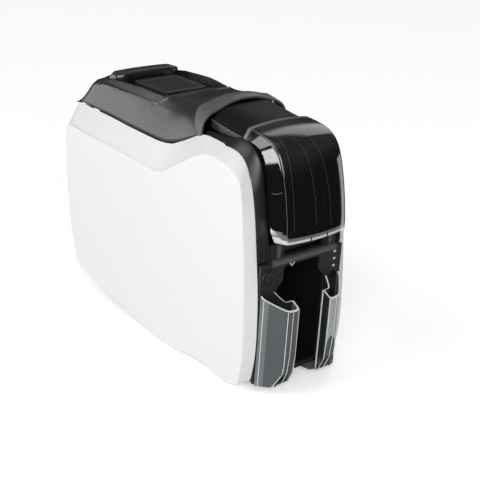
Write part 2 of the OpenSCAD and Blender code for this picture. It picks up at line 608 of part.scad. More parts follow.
left_side_panel();
right_side_panel();
base_pan();
main_frame();
rear_panel();
front_fascia();
feeder_bezel();
feeder_sill();
output_bin();
left_output_wing();
right_output_wing();
wing_pegs();
tap_cap();
saddle_band();
chassis_plates();
tie_bars();
feeder_tray();
card_guides();
shaft_bushes();
cover_hinge_pins();
lid_hinge_brackets();
lid_hinge_pin();
latch_catches();
drive_motor();
idler_studs();
ribbon_cradle();
main_board();
power_inlet();
data_ports();
casing_screws();
rubber_feet();
status_lamps();
lid_shell();
lid_frame();
lid_hinge_arms();
head_bracket();
print_head();
head_springs();
latch_pad();
latch_bar();
hopper_cover();
cover_hinge_arms();
card_weight();
power_button();
lock_plug();
pickup_roller();
pickup_gear();
entry_roller();
entry_gear();
platen_roller();
platen_gear();
exit_roller();
exit_gear();
feed_idler();
entry_idler();
exit_idler();
motor_pinion();
supply_spool();
takeup_spool();
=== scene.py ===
import json
import math
import bpy
import bmesh
from mathutils import Matrix, Vector


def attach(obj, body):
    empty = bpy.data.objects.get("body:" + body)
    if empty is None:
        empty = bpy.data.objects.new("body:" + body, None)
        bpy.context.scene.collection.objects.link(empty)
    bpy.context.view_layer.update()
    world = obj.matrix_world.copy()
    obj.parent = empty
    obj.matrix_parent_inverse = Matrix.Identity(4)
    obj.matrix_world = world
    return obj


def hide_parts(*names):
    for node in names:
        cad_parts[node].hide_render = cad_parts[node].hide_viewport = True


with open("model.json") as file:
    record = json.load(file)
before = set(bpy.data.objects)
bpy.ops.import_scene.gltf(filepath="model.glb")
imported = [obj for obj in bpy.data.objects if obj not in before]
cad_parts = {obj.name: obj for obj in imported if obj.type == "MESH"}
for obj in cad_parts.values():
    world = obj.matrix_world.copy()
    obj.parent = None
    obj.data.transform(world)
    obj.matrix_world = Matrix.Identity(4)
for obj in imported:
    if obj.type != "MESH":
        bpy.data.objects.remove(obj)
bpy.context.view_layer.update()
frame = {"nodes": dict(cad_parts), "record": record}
scene = bpy.context.scene
nodes = frame["nodes"]

# ---------------------------------------------------------------- numbers


def clamp(t, a=0.0, b=1.0):
    return max(a, min(b, t))


def smooth(t):
    t = clamp(t)
    return t * t * (3 - 2 * t)


def mix(a, b, t):
    return tuple(x + (y - x) * t for x, y in zip(a, b))


def cr(a, b, c, d, t):
    return tuple(
        0.5 * (2 * q + (r - p) * t + (2 * p - 5 * q + 4 * r - s) * t * t + (3 * q - p - 3 * r + s) * t ** 3)
        for p, q, r, s in zip(a, b, c, d)
    )


def loop(pts, k):
    n = len(pts)
    return [cr(pts[i - 1], pts[i], pts[(i + 1) % n], pts[(i + 2) % n], j / k) for i in range(n) for j in range(k)]


def cpcr(p0, p1, p2, p3, t):
    # centripetal Catmull-Rom, which does not overshoot where the spacing is uneven
    def step(a, b):
        return max(1e-6, math.dist(a, b)) ** 0.5
    t0 = 0.0
    t1 = t0 + step(p0, p1)
    t2 = t1 + step(p1, p2)
    t3 = t2 + step(p2, p3)
    u = t1 + (t2 - t1) * t
    def m(a, b, ta, tb):
        w = (u - ta) / (tb - ta)
        return tuple(x + (y - x) * w for x, y in zip(a, b))
    a1, a2, a3 = m(p0, p1, t0, t1), m(p1, p2, t1, t2), m(p2, p3, t2, t3)
    b1, b2 = m(a1, a2, t0, t2), m(a2, a3, t1, t3)
    return m(b1, b2, t1, t2)


def spline(pts, k):
    pts = [tuple(p) for p in pts]
    n = len(pts)
    ext = [tuple(2 * a - b for a, b in zip(pts[0], pts[1]))] + pts + [tuple(2 * a - b for a, b in zip(pts[-1], pts[-2]))]
    out = []
    for i in range(n - 1):
        for j in range(k):
            out.append(cpcr(ext[i], ext[i + 1], ext[i + 2], ext[i + 3], j / k))
    out.append(pts[-1])
    return out


def refine(rows, ku, kv):
    rows = [spline(r, kv) for r in rows]
    cols = [spline([r[j] for r in rows], ku) for j in range(len(rows[0]))]
    return [[c[i] for c in cols] for i in range(len(cols[0]))]


def table_at(tab, x):
    # smooth interpolation of a table of rows whose first column is rising
    if x <= tab[0][0]:
        return tab[0]
    if x >= tab[-1][0]:
        return tab[-1]
    for i in range(len(tab) - 1):
        if tab[i][0] <= x <= tab[i + 1][0]:
            t = (x - tab[i][0]) / (tab[i + 1][0] - tab[i][0])
            a, b = tab[i], tab[i + 1]
            p = tab[i - 1] if i else tuple(2 * u - v for u, v in zip(a, b))
            q = tab[i + 2] if i + 2 < len(tab) else tuple(2 * v - u for u, v in zip(a, b))
            ha, hb = (b[0] - a[0]), (b[0] - a[0])
            res = [x]
            for k in range(1, len(a)):
                ma = (b[k] - p[k]) / (b[0] - p[0]) * ha
                mb = (q[k] - a[k]) / (q[0] - a[0]) * hb
                t2, t3 = t * t, t ** 3
                res.append((2 * t3 - 3 * t2 + 1) * a[k] + (t3 - 2 * t2 + t) * ma + (-2 * t3 + 3 * t2) * b[k] + (t3 - t2) * mb)
            return tuple(res)


def inset(p, d):
    # moves a loop that runs clockwise in Y, Z inwards by d
    n = len(p)
    out = []
    for i in range(n):
        ty, tz = p[(i + 1) % n][0] - p[i - 1][0], p[(i + 1) % n][1] - p[i - 1][1]
        l = math.hypot(ty, tz) or 1.0
        out.append((p[i][0] - d * tz / l, p[i][1] + d * ty / l))
    return out


# ---------------------------------------------------------------- materials


def plastic(name, base, rough, var=0.05, bump=0.12, grain=2600.0, spec=0.5, coat=0.0, coat_rough=0.1,
            metal=0.0, rvar=0.05, big=18.0, alpha=1.0, ior=1.5, sub=0.0, aniso=0.0, trans=0.0):
    m = bpy.data.materials.new(name)
    m.use_nodes = True
    nt = m.node_tree
    b = nt.nodes["Principled BSDF"]
    tc = nt.nodes.new("ShaderNodeTexCoord")
    n1 = nt.nodes.new("ShaderNodeTexNoise")
    n1.inputs["Scale"].default_value = big
    n1.inputs["Detail"].default_value = 3.0
    nt.links.new(tc.outputs["Object"], n1.inputs["Vector"])
    mx = nt.nodes.new("ShaderNodeMix")
    mx.data_type = "RGBA"
    lo = tuple(clamp(c * (1 - var)) for c in base)
    hi = tuple(clamp(c * (1 + var)) for c in base)
    mx.inputs[6].default_value = (*lo, 1)
    mx.inputs[7].default_value = (*hi, 1)
    nt.links.new(n1.outputs["Fac"], mx.inputs[0])
    nt.links.new(mx.outputs[2], b.inputs["Base Color"])
    n2 = nt.nodes.new("ShaderNodeTexNoise")
    n2.inputs["Scale"].default_value = grain
    n2.inputs["Detail"].default_value = 2.0
    nt.links.new(tc.outputs["Object"], n2.inputs["Vector"])
    bp = nt.nodes.new("ShaderNodeBump")
    bp.inputs["Strength"].default_value = bump
    bp.inputs["Distance"].default_value = 0.00012
    nt.links.new(n2.outputs["Fac"], bp.inputs["Height"])
    nt.links.new(bp.outputs["Normal"], b.inputs["Normal"])
    n3 = nt.nodes.new("ShaderNodeTexNoise")
    n3.inputs["Scale"].default_value = big * 3.3
    n3.inputs["Detail"].default_value = 4.0
    nt.links.new(tc.outputs["Object"], n3.inputs["Vector"])
    mr = nt.nodes.new("ShaderNodeMapRange")
    mr.inputs["To Min"].default_value = clamp(rough - rvar)
    mr.inputs["To Max"].default_value = clamp(rough + rvar)
    nt.links.new(n3.outputs["Fac"], mr.inputs["Value"])
    nt.links.new(mr.outputs["Result"], b.inputs["Roughness"])
    b.inputs["Specular IOR Level"].default_value = spec
    b.inputs["Metallic"].default_value = metal
    b.inputs["Coat Weight"].default_value = coat
    b.inputs["Coat Roughness"].default_value = coat_rough
    b.inputs["IOR"].default_value = ior
    b.inputs["Alpha"].default_value = alpha
    b.inputs["Transmission Weight"].default_value = trans
    if sub:
        b.inputs["Subsurface Weight"].default_value = sub
        b.inputs["Subsurface Radius"].default_value = (0.004, 0.004, 0.004)
        b.inputs["Subsurface Scale"].default_value = 0.5
    m.diffuse_color = (*base, alpha)
    return m


def grey(v):
    # display value 0 to 255 to linear
    v = v / 255.0
    return v / 12.92 if v <= 0.04045 else ((v + 0.055) / 1.055) ** 2.4


M = {}
M["white"] = plastic("white_abs", (0.62, 0.62, 0.617), 0.42, var=0.012, bump=0.10, grain=3200, spec=0.45)
M["black"] = plastic("black_abs", (0.012, 0.012, 0.0125), 0.46, var=0.12, bump=0.22, grain=2400, spec=0.35)
M["black_deep"] = plastic("black_inner", (0.007, 0.007, 0.0075), 0.55, var=0.12, bump=0.15, spec=0.22)
M["gloss"] = plastic("gloss_black_abs", (0.008, 0.008, 0.0085), 0.38, var=0.08, bump=0.04, spec=0.10, rvar=0.03)
M["dark"] = plastic("dark_grey_abs", (0.030, 0.031, 0.032), 0.40, var=0.04, bump=0.16, grain=2800, spec=0.42)
M["lidtop"] = plastic("lid_grey_abs", (0.0095, 0.0100, 0.0100), 0.27, var=0.05, bump=0.12, grain=2800, spec=0.86, rvar=0.03)


def rim_painted_highlight(m, tone):
    """Paints a lighter strip along the raised frame beside the latch tray, fading out towards the front: a painted
    highlight.
    """
    nt = m.node_tree
    b = nt.nodes["Principled BSDF"]
    src = b.inputs["Base Color"].links[0].from_socket
    tc = nt.nodes.new("ShaderNodeTexCoord")
    sp = nt.nodes.new("ShaderNodeSeparateXYZ")
    nt.links.new(tc.outputs["Object"], sp.inputs[0])
    ab = nt.nodes.new("ShaderNodeMath")
    ab.operation = "ABSOLUTE"
    nt.links.new(sp.outputs[0], ab.inputs[0])
    fac = None
    for out, lo, hi in ((ab.outputs[0], 0.0510, 0.0545), (sp.outputs[2], 0.2885, 0.2925), (sp.outputs[1], 0.028, 0.075)):
        mr = nt.nodes.new("ShaderNodeMapRange")
        mr.interpolation_type = "SMOOTHSTEP"
        mr.inputs["From Min"].default_value = lo
        mr.inputs["From Max"].default_value = hi
        nt.links.new(out, mr.inputs["Value"])
        if fac is None:
            fac = mr.outputs["Result"]
        else:
            mu = nt.nodes.new("ShaderNodeMath")
            mu.operation = "MULTIPLY"
            nt.links.new(fac, mu.inputs[0])
            nt.links.new(mr.outputs["Result"], mu.inputs[1])
            fac = mu.outputs[0]
    mx = nt.nodes.new("ShaderNodeMix")
    mx.data_type = "RGBA"
    nt.links.new(fac, mx.inputs[0])
    nt.links.new(src, mx.inputs[6])
    mx.inputs[7].default_value = (*tone, 1)
    nt.links.new(mx.outputs[2], b.inputs["Base Color"])


# painted highlight: a lighter strip on the lid's frame beside the tray
rim_painted_highlight(M["lidtop"], (0.050, 0.051, 0.052))
M["bezel"] = plastic("bezel_satin", (0.0095, 0.0098, 0.0100), 0.33, var=0.05, bump=0.08, spec=0.45)
M["band"] = plastic("band_grey_abs", (0.078, 0.080, 0.084), 0.40, var=0.03, bump=0.12, spec=0.40)
M["ledge"] = plastic("ledge_satin", (0.075, 0.076, 0.080), 0.30, var=0.05, bump=0.08, spec=0.5)
M["smoke"] = plastic("smoke_clear", (0.004, 0.0042, 0.0045), 0.05, var=0.05, bump=0.0, spec=0.85, rvar=0.006, alpha=0.90, ior=1.5)
# lighter copies of the clear cover plastic for its cut edges, bottom rim and side strips: painted highlights and
# painted reflection in the plastic's edges
M["smoke_edge_highlight"] = plastic("smoke_edge_highlight", (0.42, 0.44, 0.45), 0.16, var=0.10, bump=0.03, spec=0.6, rvar=0.05)
M["clear_rim_highlight"] = plastic("clear_rim_highlight", (0.46, 0.465, 0.465), 0.12, var=0.25, bump=0.03, grain=160, spec=0.8, rvar=0.03)
M["clear_side_highlight"] = plastic("clear_side_highlight", (0.12, 0.123, 0.125), 0.12, var=0.10, bump=0.0, spec=0.8, rvar=0.02)
# the clear wing plastic in four tones: the plain one; a lighter copy that paints a highlight on the strip next to the
# side panel; a much lighter copy that paints the light on the right wing's front; and a darker copy that paints shade
# on the inward faces and the stop walls
M["wing"] = plastic("wing_clear", (0.099, 0.110, 0.114), 0.16, var=0.02, bump=0.0, spec=0.5, rvar=0.02, alpha=0.80)
M["wing_lit"] = plastic("wing_clear_lit", (0.171, 0.184, 0.188), 0.16, var=0.02, bump=0.0, spec=0.5, rvar=0.02, alpha=0.83)
M["wing_right"] = plastic("wing_clear_front", (0.348, 0.361, 0.364), 0.16, var=0.02, bump=0.0, spec=0.5, rvar=0.02, alpha=0.85)
# bright copy of the clear wing plastic for top faces, ends and edge lines: painted highlight
M["wing_edge"] = plastic("wing_edge", (0.70, 0.72, 0.72), 0.2, var=0.08, bump=0.03, spec=0.6)
# light grey for thin lines along edges: painted highlights
M["edge_line"] = plastic("edge_line", (0.15, 0.153, 0.156), 0.22, var=0.04, bump=0.0, spec=0.8)
# darker copy of the clear wing plastic: painted shade
M["wing_dark"] = plastic("wing_inner", (0.022, 0.024, 0.025), 0.12, var=0.02, bump=0.0, spec=0.5, rvar=0.02, alpha=0.80)
M["inner_line"] = plastic("inner_line", (0.060, 0.062, 0.065), 0.25, var=0.05, bump=0.02, spec=0.5)
# a lighter copy of the black plastic for the front fascia and lock barrel: painted light on faces turned to the front
M["fascia_lit"] = plastic("fascia_black_lit", (0.020, 0.0205, 0.021), 0.40, var=0.08, bump=0.2, grain=2400, spec=0.4)
M["steel"] = plastic("zinc_steel", (0.50, 0.50, 0.51), 0.34, var=0.06, bump=0.10, grain=900, metal=1.0, rvar=0.08)
M["bronze"] = plastic("sintered_bronze", (0.42, 0.27, 0.12), 0.42, var=0.12, bump=0.2, grain=2200, metal=1.0)
M["pcb"] = plastic("solder_mask", (0.012, 0.085, 0.040), 0.30, var=0.15, bump=0.12, grain=1100, spec=0.5)
M["shell"] = plastic("plated_shell", (0.60, 0.60, 0.60), 0.22, var=0.05, bump=0.05, metal=1.0)
M["rubber"] = plastic("rubber_black", (0.016, 0.016, 0.016), 0.78, var=0.15, bump=0.35, grain=1500, spec=0.3)
M["roller"] = plastic("roller_rubber", (0.022, 0.022, 0.024), 0.62, var=0.1, bump=0.3, grain=1900, spec=0.35)
M["lamp"] = plastic("lamp_lens", (0.50, 0.515, 0.515), 0.30, var=0.04, bump=0.04, spec=0.5)
M["alu"] = plastic("cast_aluminium", (0.62, 0.63, 0.64), 0.40, var=0.05, bump=0.18, grain=1300, metal=1.0)
M["gearp"] = plastic("acetal_gear", (0.62, 0.62, 0.58), 0.48, var=0.03, bump=0.08, spec=0.45)
M["film"] = plastic("ribbon_film", (0.030, 0.022, 0.075), 0.22, var=0.10, bump=0.03, grain=700, spec=0.6)
M["pad"] = plastic("pad_grey_abs", (0.019, 0.0205, 0.0205), 0.42, var=0.04, bump=0.16, spec=0.38)

SLOT_MAT = {
    "white_plastic": "white", "black_plastic": "black", "gloss_black": "gloss", "dark_plastic": "dark",
    "grey_plastic": "band", "bezel_plastic": "bezel", "smoke_cover": "smoke", "smoke_clear": "wing",
    "zinc_steel": "steel", "bronze": "bronze", "circuit_board": "pcb", "plated_shell": "shell",
    "rubber": "rubber", "lamp_lens": "lamp", "head_aluminium": "alu", "gear_plastic": "gearp",
    "ribbon_film": "film",
}

# ---------------------------------------------------------------- meshes


def make(name, verts, faces, body, mats, replaces=(), angle=38.0, fmat=None, recalc=True, bevel=0.0, bang=40.0, segs=2):
    """A mesh piece from millimetre coordinates."""
    me = bpy.data.meshes.new(name)
    me.from_pydata([tuple(c * 0.001 for c in v) for v in verts], [], faces)
    me.update()
    if fmat:
        for p, k in zip(me.polygons, fmat):
            p.material_index = k
    if recalc:
        bm = bmesh.new()
        bm.from_mesh(me)
        bmesh.ops.recalc_face_normals(bm, faces=bm.faces)
        bm.to_mesh(me)
        bm.free()
    for p in me.polygons:
        p.use_smooth = True
    me.set_sharp_from_angle(angle=math.radians(angle))
    for m in ([mats] if isinstance(mats, str) else mats):
        me.materials.append(M[m])
    o = bpy.data.objects.new(name, me)
    scene.collection.objects.link(o)
    if bevel:
        add_bevel(o, bevel, bang, segs)
    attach(o, body)
    if replaces:
        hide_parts(*replaces)
    return o


def add_bevel(o, w, ang=40.0, segs=2):
    b = o.modifiers.new("edge", "BEVEL")
    b.width = w * 0.001
    b.segments = segs
    b.limit_method = "ANGLE"
    b.angle_limit = math.radians(ang)
    b.use_clamp_overlap = True
    b.harden_normals = False
    return b


def ring_faces(n, m, off=0, wrap=True):
    """Quads between m rings of n points each."""
    f = []
    for r in range(m - 1):
        for i in range(n if wrap else n - 1):
            j = (i + 1) % n
            f.append((off + r * n + i, off + r * n + j, off + (r + 1) * n + j, off + (r + 1) * n + i))
    return f


def normals_of(g):
    n, m = len(g), len(g[0])
    out = []
    for i in range(n):
        row = []
        for j in range(m):
            a = Vector(g[min(i + 1, n - 1)][j]) - Vector(g[max(i - 1, 0)][j])
            b = Vector(g[i][min(j + 1, m - 1)]) - Vector(g[i][max(j - 1, 0)])
            c = b.cross(a)
            row.append(c.normalized() if c.length > 1e-9 else Vector((0, 0, 1)))
        out.append(row)
    return out


def shell(g, t, flip=False, r=0.5):
    """Closed sheet of thickness t under a grid; returns verts, faces and a rim flag per face."""
    n, m = len(g), len(g[0])
    nm = normals_of(g)
    s = -1.0 if flip else 1.0
    top = [[Vector(g[i][j]) for j in range(m)] for i in range(n)]
    bot = [[top[i][j] - nm[i][j] * (t * s) for j in range(m)] for i in range(n)]
    verts = [tuple(v) for row in top for v in row] + [tuple(v) for row in bot for v in row]
    o = n * m
    faces, rim = [], []
    for i in range(n - 1):
        for j in range(m - 1):
            a, b, c, d = i * m + j, i * m + j + 1, (i + 1) * m + j + 1, (i + 1) * m + j
            faces.append((a, b, c, d)); rim.append(0)
            faces.append((o + d, o + c, o + b, o + a)); rim.append(0)
    edge = [(0, j) for j in range(m)] + [(i, m - 1) for i in range(1, n)] + [(n - 1, j) for j in range(m - 2, -1, -1)] + [(i, 0) for i in range(n - 2, 0, -1)]
    ids = [i * m + j for i, j in edge]
    k = len(ids)
    for q in range(k):
        a, b = ids[q], ids[(q + 1) % k]
        faces.append((b, a, o + a, o + b)); rim.append(1)
    return verts, faces, rim


def prism(poly, axis, lo, hi):
    """Verts and faces of a straight prism. axis x: poly is (y, z); y: (x, z); z: (x, y)."""
    n = len(poly)
    def p(q, h):
        return (h, q[0], q[1]) if axis == "x" else (q[0], h, q[1]) if axis == "y" else (q[0], q[1], h)
    verts = [p(q, lo) for q in poly] + [p(q, hi) for q in poly]
    faces = [tuple(range(n)), tuple(range(2 * n - 1, n - 1, -1))]
    faces += [(i, (i + 1) % n, n + (i + 1) % n, n + i) for i in range(n)]
    return verts, faces


def add(parts):
    """Joins several (verts, faces) into one list."""
    v, f = [], []
    for a, b in parts:
        o = len(v)
        v += list(a)
        f += [tuple(o + i for i in q) for q in b]
    return v, f


def rrect(hx, y0, y1, r, n=8):
    """Rounded rectangle outline in the plan, counter-clockwise from the +X side."""
    pts = []
    for cx, cy, a0 in ((hx - r, y1 - r, 0), (-hx + r, y1 - r, 90), (-hx + r, y0 + r, 180), (hx - r, y0 + r, 270)):
        for k in range(n + 1):
            a = math.radians(a0 + 90.0 * k / n)
            pts.append((cx + r * math.cos(a), cy + r * math.sin(a)))
    return pts


def tube(path, r, n=8, cap=True):
    """Round bar along a path."""
    rings = []
    for i, p in enumerate(path):
        a = Vector(path[min(i + 1, len(path) - 1)]) - Vector(path[max(i - 1, 0)])
        a.normalize()
        u = a.cross(Vector((0, 0, 1))) if abs(a.z) < 0.9 else a.cross(Vector((1, 0, 0)))
        u.normalize()
        w = a.cross(u)
        rings.append([tuple(Vector(p) + r * (math.cos(2 * math.pi * k / n) * u + math.sin(2 * math.pi * k / n) * w)) for k in range(n)])
    v = [q for g in rings for q in g]
    f = ring_faces(n, len(rings))
    if cap:
        f += [tuple(range(n - 1, -1, -1)), tuple(range((len(rings) - 1) * n, len(rings) * n))]
    return v, f


# ---------------------------------------------------------------- white side panels

panel_pts = [[178,229,180,253], [119,225,120,252], [77,222,78,250], [35,220,37,249],
  [15,219,17,249], [1,220,1,251], [-14,226,-10,254], [-41,243,-35,266], [-67,259,-54,276],
  [-81,265,-68,280], [-96,267,-83,280], [-107,266,-99,279], [-118,264,-113,278],
  [-130,260,-126,275], [-137,256,-134,270], [-142,251,-139,264], [-146,243,-144,255],
  [-149,230,-149,243], [-154,199,-156,214], [-159,165,-163,172], [-163,130,-168,138],
  [-165,106,-171,112], [-167,69,-173,76], [-167,43,-173,48], [-164,16,-170,22],
  [-160,8,-166,12], [-147,4,-150,8], [-133,4,-134,8], [-115,8,-115,12], [-96,10,-96,15],
  [-77,9,-77,14], [-58,6,-58,10], [-38,3,-38,8], [-18,3,-18,8], [24,9,24,14], [67,17,67,22],
  [112,26,112,30], [148,35,147,39], [160,39,159,43], [168,46,167,50], [174,59,173,62],
  [182,85,181,87], [189,119,188,120], [193,146,192,147], [195.5,187,195,190],
  [196,212,196,230], [193,221,194,243], [187,227,189,250]]
face_line = loop([(p[0], p[1]) for p in panel_pts], 6)
seam_line = loop([(p[2], p[3]) for p in panel_pts], 6)
NL = len(face_line)


def blend_line(t):
    return [mix(a, b, t) for a, b in zip(seam_line, face_line)]


def panel(side):
    x1, x0, w = 79.0, 63.5, 2.5
    out = [(0.0, x0, 0.5), (0.0, x0 + 0.5, 0.0), (0.12, 65.6, 0.0), (0.3, 68.2, 0.0), (0.5, 71.0, 0.0), (0.7, 73.8, 0.0),
           (0.86, 76.1, 0.0), (0.95, 77.3, 0.0), (1.0, 78.0, 0.15), (1.0, 78.5, 0.5), (1.0, 78.85, 1.1), (1.0, 79.0, 1.7), (1.0, 79.0, 2.3)]
    rings = [[(x, p[0], p[1]) for p in inset(blend_line(t), d)] for t, x, d in out]
    inner = [[(x, p[0], p[1]) for p in inset(blend_line(t), d)] for t, x, d in
             ((1.0, x1 - w, w + 0.4), (0.5, 71.0, w), (0.0, x0, w))]
    rings = inner + rings
    v = [q for r in rings for q in r]
    n = NL
    f = ring_faces(n, len(rings))
    f += [tuple(range(n - 1, -1, -1)), tuple(range((len(rings) - 1) * n, len(rings) * n))]
    if side < 0:
        v = [(-a, b, c) for a, b, c in v]
    nm = "right" if side > 0 else "left"
    make(nm + "_white_panel", v, f, "body", "white", (nm + "_side_panel",), angle=60)


panel(-1)
panel(1)

# ---------------------------------------------------------------- lid

lid_st = [[-38,269,297,305.5,311], [-28,264,294.5,303.5,310], [-14,257.5,291.5,301,307.5],
  [0,253,289.8,299.3,305], [16,250.5,288.8,298.2,303], [30,250.3,288.4,297.8,302],
  [80,251.5,288,297.2,301], [120,253.5,287.4,295.8,299], [150,254,286.4,293.6,297],
  [163,254.5,283.5,289,292], [172,254.5,277.5,281,284], [180,254.5,269.5,272.5,274.5],
  [187,253.5,261.5,263.6,265], [192,252.5,256,257.4,258.4], [196,251.5,253,253.7,254.2]]
lid_cs = [(0,1,1,1), (15,1,1,.92), (30,1,1,.68), (42,1,1,.35), (46.5,1,.9,.05), (50,1,.45,0), (54,1,0,0),
  (55.4,.92,0,0), (57.9,.72,0,0), (60.5,.42,0,0), (62.3,.15,0,0), (63,0,0,0)]


def lid_pt(s, x):
    ax = abs(x)
    st = table_at(lid_st, s)
    c = [0, 0, 0, 0]
    for i in range(len(lid_cs) - 1):
        if lid_cs[i][0] <= ax <= lid_cs[i + 1][0] + 1e-9:
            t = (ax - lid_cs[i][0]) / (lid_cs[i + 1][0] - lid_cs[i][0])
            c = mix(lid_cs[i], lid_cs[i + 1], t)
            break
    d = (1 - c[1]) * clamp((-10 - s) / 28)
    z = st[1] + 7 * d + (st[2] - st[1] - 7 * d) * c[1] + (st[3] - st[2]) * c[2] + (st[4] - st[3]) * c[3]
    t = clamp((-19.0 - s) / 18.5, 0.0, 0.97)
    roll = 2.0 * (1 - math.sqrt(1 - t * t))
    k = smooth((ax - 46.0) / 10.0)
    return (x - math.copysign(roll * k, x) if ax > 1 else x, s - 15 * d, z - roll * (1 - k))


def lid_soft(s, x, w):
    """The lid's skin with its cross-section smoothed over a half width w."""
    p = lid_pt(s, x)
    ax = abs(x)
    if w <= 0.05 or ax > 62.5:
        return p
    w = min(w, 62.8 - ax) if ax > 40 else w
    z = wt = 0.0
    for k in range(-4, 5):
        g = math.exp(-1.2 * (k / 2.5) ** 2)
        z += g * lid_pt(s, clamp(x + w * k / 4.0, -63, 63))[2]
        wt += g
    return (p[0], p[1], z / wt)


def ridge_loop(n):
    return rrect(54.0, 23.5, 158.0, 15.0, n)


def ramp(x, pts):
    """Straight-line interpolation through (x, value) pairs, held at both ends."""
    if x <= pts[0][0]:
        return pts[0][1]
    for (a, fa), (b, fb) in zip(pts, pts[1:]):
        if x <= b:
            return fa + (fb - fa) * (x - a) / (b - a)
    return pts[-1][1]


def boxy(q):
    """Stands the flanks of the lid steeper beside the tray, so that its rim is a wide square frame."""
    x, y, z = q
    ax = abs(x)
    g = smooth((y + 8.0) / 84.0) * smooth((192.0 - y) / 36.0)
    dx = ramp(ax, [(36, 0), (45.4, 6.2), (47, 6.4), (54, 5.4), (63, 0)]) * g
    up = ramp(y, [(15, 0.6), (70, 1.0), (120, 0.45), (150, -0.85)])
    dy = ramp(y, [(-14, 0), (4, -3.4), (22, -8.5), (24.5, -7.0), (27.3, 0)]) * clamp(1 - (ax / 52.0) ** 2) * clamp((z - 284.0) / 4.0)
    dz = ramp(ax, [(30, 0), (45, 3.0), (48, 3.0), (54, 2.0), (63, 0)]) * g * up * smooth((z - 286.2) / 4.0)
    if z < 286.2 and ax > 54.5:
        dz = ramp(ax, [(54, 2.0), (63, 0)]) * g * up * clamp((z - 254.0) / 30.0)
    return (x + math.copysign(dx, x), y + dy, z + dz)


def build_lid():
    n = 10
    tray = rrect(45.4, 27.6, 150.4, 6.0, n)
    mid = rrect(50.0, 25.5, 154.0, 10.0, n)
    ridge = rrect(54.0, 22.0, 158.5, 21.0, n)
    outer = rrect(63.0, -38.0, 196.0, 0.02, n)

    # more points on the four straight sides
    def dense(pts):
        out = []
        m = len(pts)
        q = n + 1
        for i in range(m):
            out.append(pts[i])
            if i % q == n:
                a, b = pts[i], pts[(i + 1) % m]
                side = i // q
                k = 28 if side in (0, 2) else 44
                # side 0 runs along the rear, 1 down -X, 2 along the front, 3 up +X
                out += [mix(a, b, (j + 1) / (k + 1)) for j in range(k)]
        return out
    tray, mid, ridge, outer = map(dense, (tray, mid, ridge, outer))
    m = len(tray)
    rings = []          # one list of points per ring

    def lay(pts, f):
        rings.append([f(*p) for p in pts])

    def surf(dz=0.0):
        def f(x, s):
            w = 7.0 * smooth((34 - s) / 26.0) if s < 34 else 0.0
            p = lid_soft(s, x, w)
            return (p[0], p[1], p[2] + dz)
        return f

    def inward(pts, d):
        out = []
        for i in range(m):
            a, b = pts[i - 1], pts[(i + 1) % m]
            tx, ty = b[0] - a[0], b[1] - a[1]
            l = math.hypot(tx, ty) or 1
            out.append((pts[i][0] - d * ty / l, pts[i][1] + d * tx / l))
        return out
    # tray floor, wall and rim
    lay(dense(rrect(3.9, 84.1, 91.9, 0.3, n)), lambda x, s: (x, s, 285.0))
    lay(dense(rrect(20.0, 60.0, 120.0, 4.0, n)), lambda x, s: (x, s, 285.0))
    lay(inward(tray, 1.4), lambda x, s: (x, s, 285.0))
    lay(inward(tray, 0.4), lambda x, s: (x, s, 285.2))
    lay(inward(tray, 0.05), lambda x, s: (x, s, 286.0))
    lay(tray, lambda x, s: (x, s, lid_pt(s, x)[2] - 1.6))
    lay(inward(tray, -0.15), lambda x, s: (x, s, lid_pt(s, x)[2] - 0.95))
    lay(inward(tray, -0.6), lambda x, s: (x, s, lid_pt(s, x)[2] - 0.55))
    # the frame round the tray, slightly dished inside its raised edge
    for t in (0.25, 0.5, 0.75, 0.9):
        line = [mix(a, b, t) for a, b in zip(tray, ridge)]
        lay(line, surf(-0.55 - 0.35 * math.sin(math.pi * t)))
    lay(inward(ridge, 0.75), surf(-0.30))
    lay(inward(ridge, 0.3), surf(0.28))
    lay(ridge, surf(0.42))
    lay(inward(ridge, -0.4), surf(0.15))
    for t in (0.07, 0.13, 0.2, 0.28, 0.36, 0.44, 0.52, 0.6, 0.68, 0.76, 0.84, 0.91, 0.96, 1.0):
        line = [mix(a, b, t) for a, b in zip(ridge, outer)]
        lay(line, surf(0.0))
    v = [q for r in rings for q in r]
    k_out = len(rings)
    f = ring_faces(m, k_out)
    mats = [0] * len(f)
    for i in range(m * (k_out - 2), m * (k_out - 1)):
        mats[i] = 1
    # underside: rim turned in, then a skin 2.4 mm below
    base = len(v)
    last = rings[-1]
    cx = lambda p, d: (p[0] * (1 - d / 63.0), p[1] + (d if p[1] < 60 else -d) * (1 if abs(p[1] - 79) > 110 else 0), p[2])
    under = [[cx(p, 0.35) for p in last]]
    under[0] = [(p[0], p[1], p[2] - 0.35) for p in under[0]]
    under.append([(cx(p, 2.0)[0], cx(p, 2.0)[1], p[2] - 0.3) for p in last])
    for idx, dz in ((k_out - 3, -2.2), (k_out - 6, -2.5), (k_out - 10, -2.6), (k_out - 15, -2.6)):
        r = rings[idx]
        under.append([(p[0] * 0.965, p[1] + (2.2 if p[1] < 0 else -2.2 if p[1] > 150 else 0) , p[2] + dz) for p in r])
    under.append([(x, s, 282.4) for x, s in inward(tray, -2.2)])
    under.append([(x, s, 282.4) for x, s in dense(rrect(3.9, 84.1, 91.9, 0.3, n))])
    v += [q for r in under for q in r]
    f2 = ring_faces(m, len(under), off=base)
    seam = [((k_out - 1) * m + i, (k_out - 1) * m + (i + 1) % m, base + (i + 1) % m, base + i) for i in range(m)]
    hole = [(base + (len(under) - 1) * m + i, base + (len(under) - 1) * m + (i + 1) % m, (i + 1) % m, i) for i in range(m)]
    f += f2 + seam + hole
    mats += [1] * (len(f2) + len(seam) + len(hole))
    v = [boxy(q) for q in v]
    make("lid_cover", v, f, "lid", ["lidtop", "black"], ("lid_shell",), angle=42, fmat=mats)


build_lid()


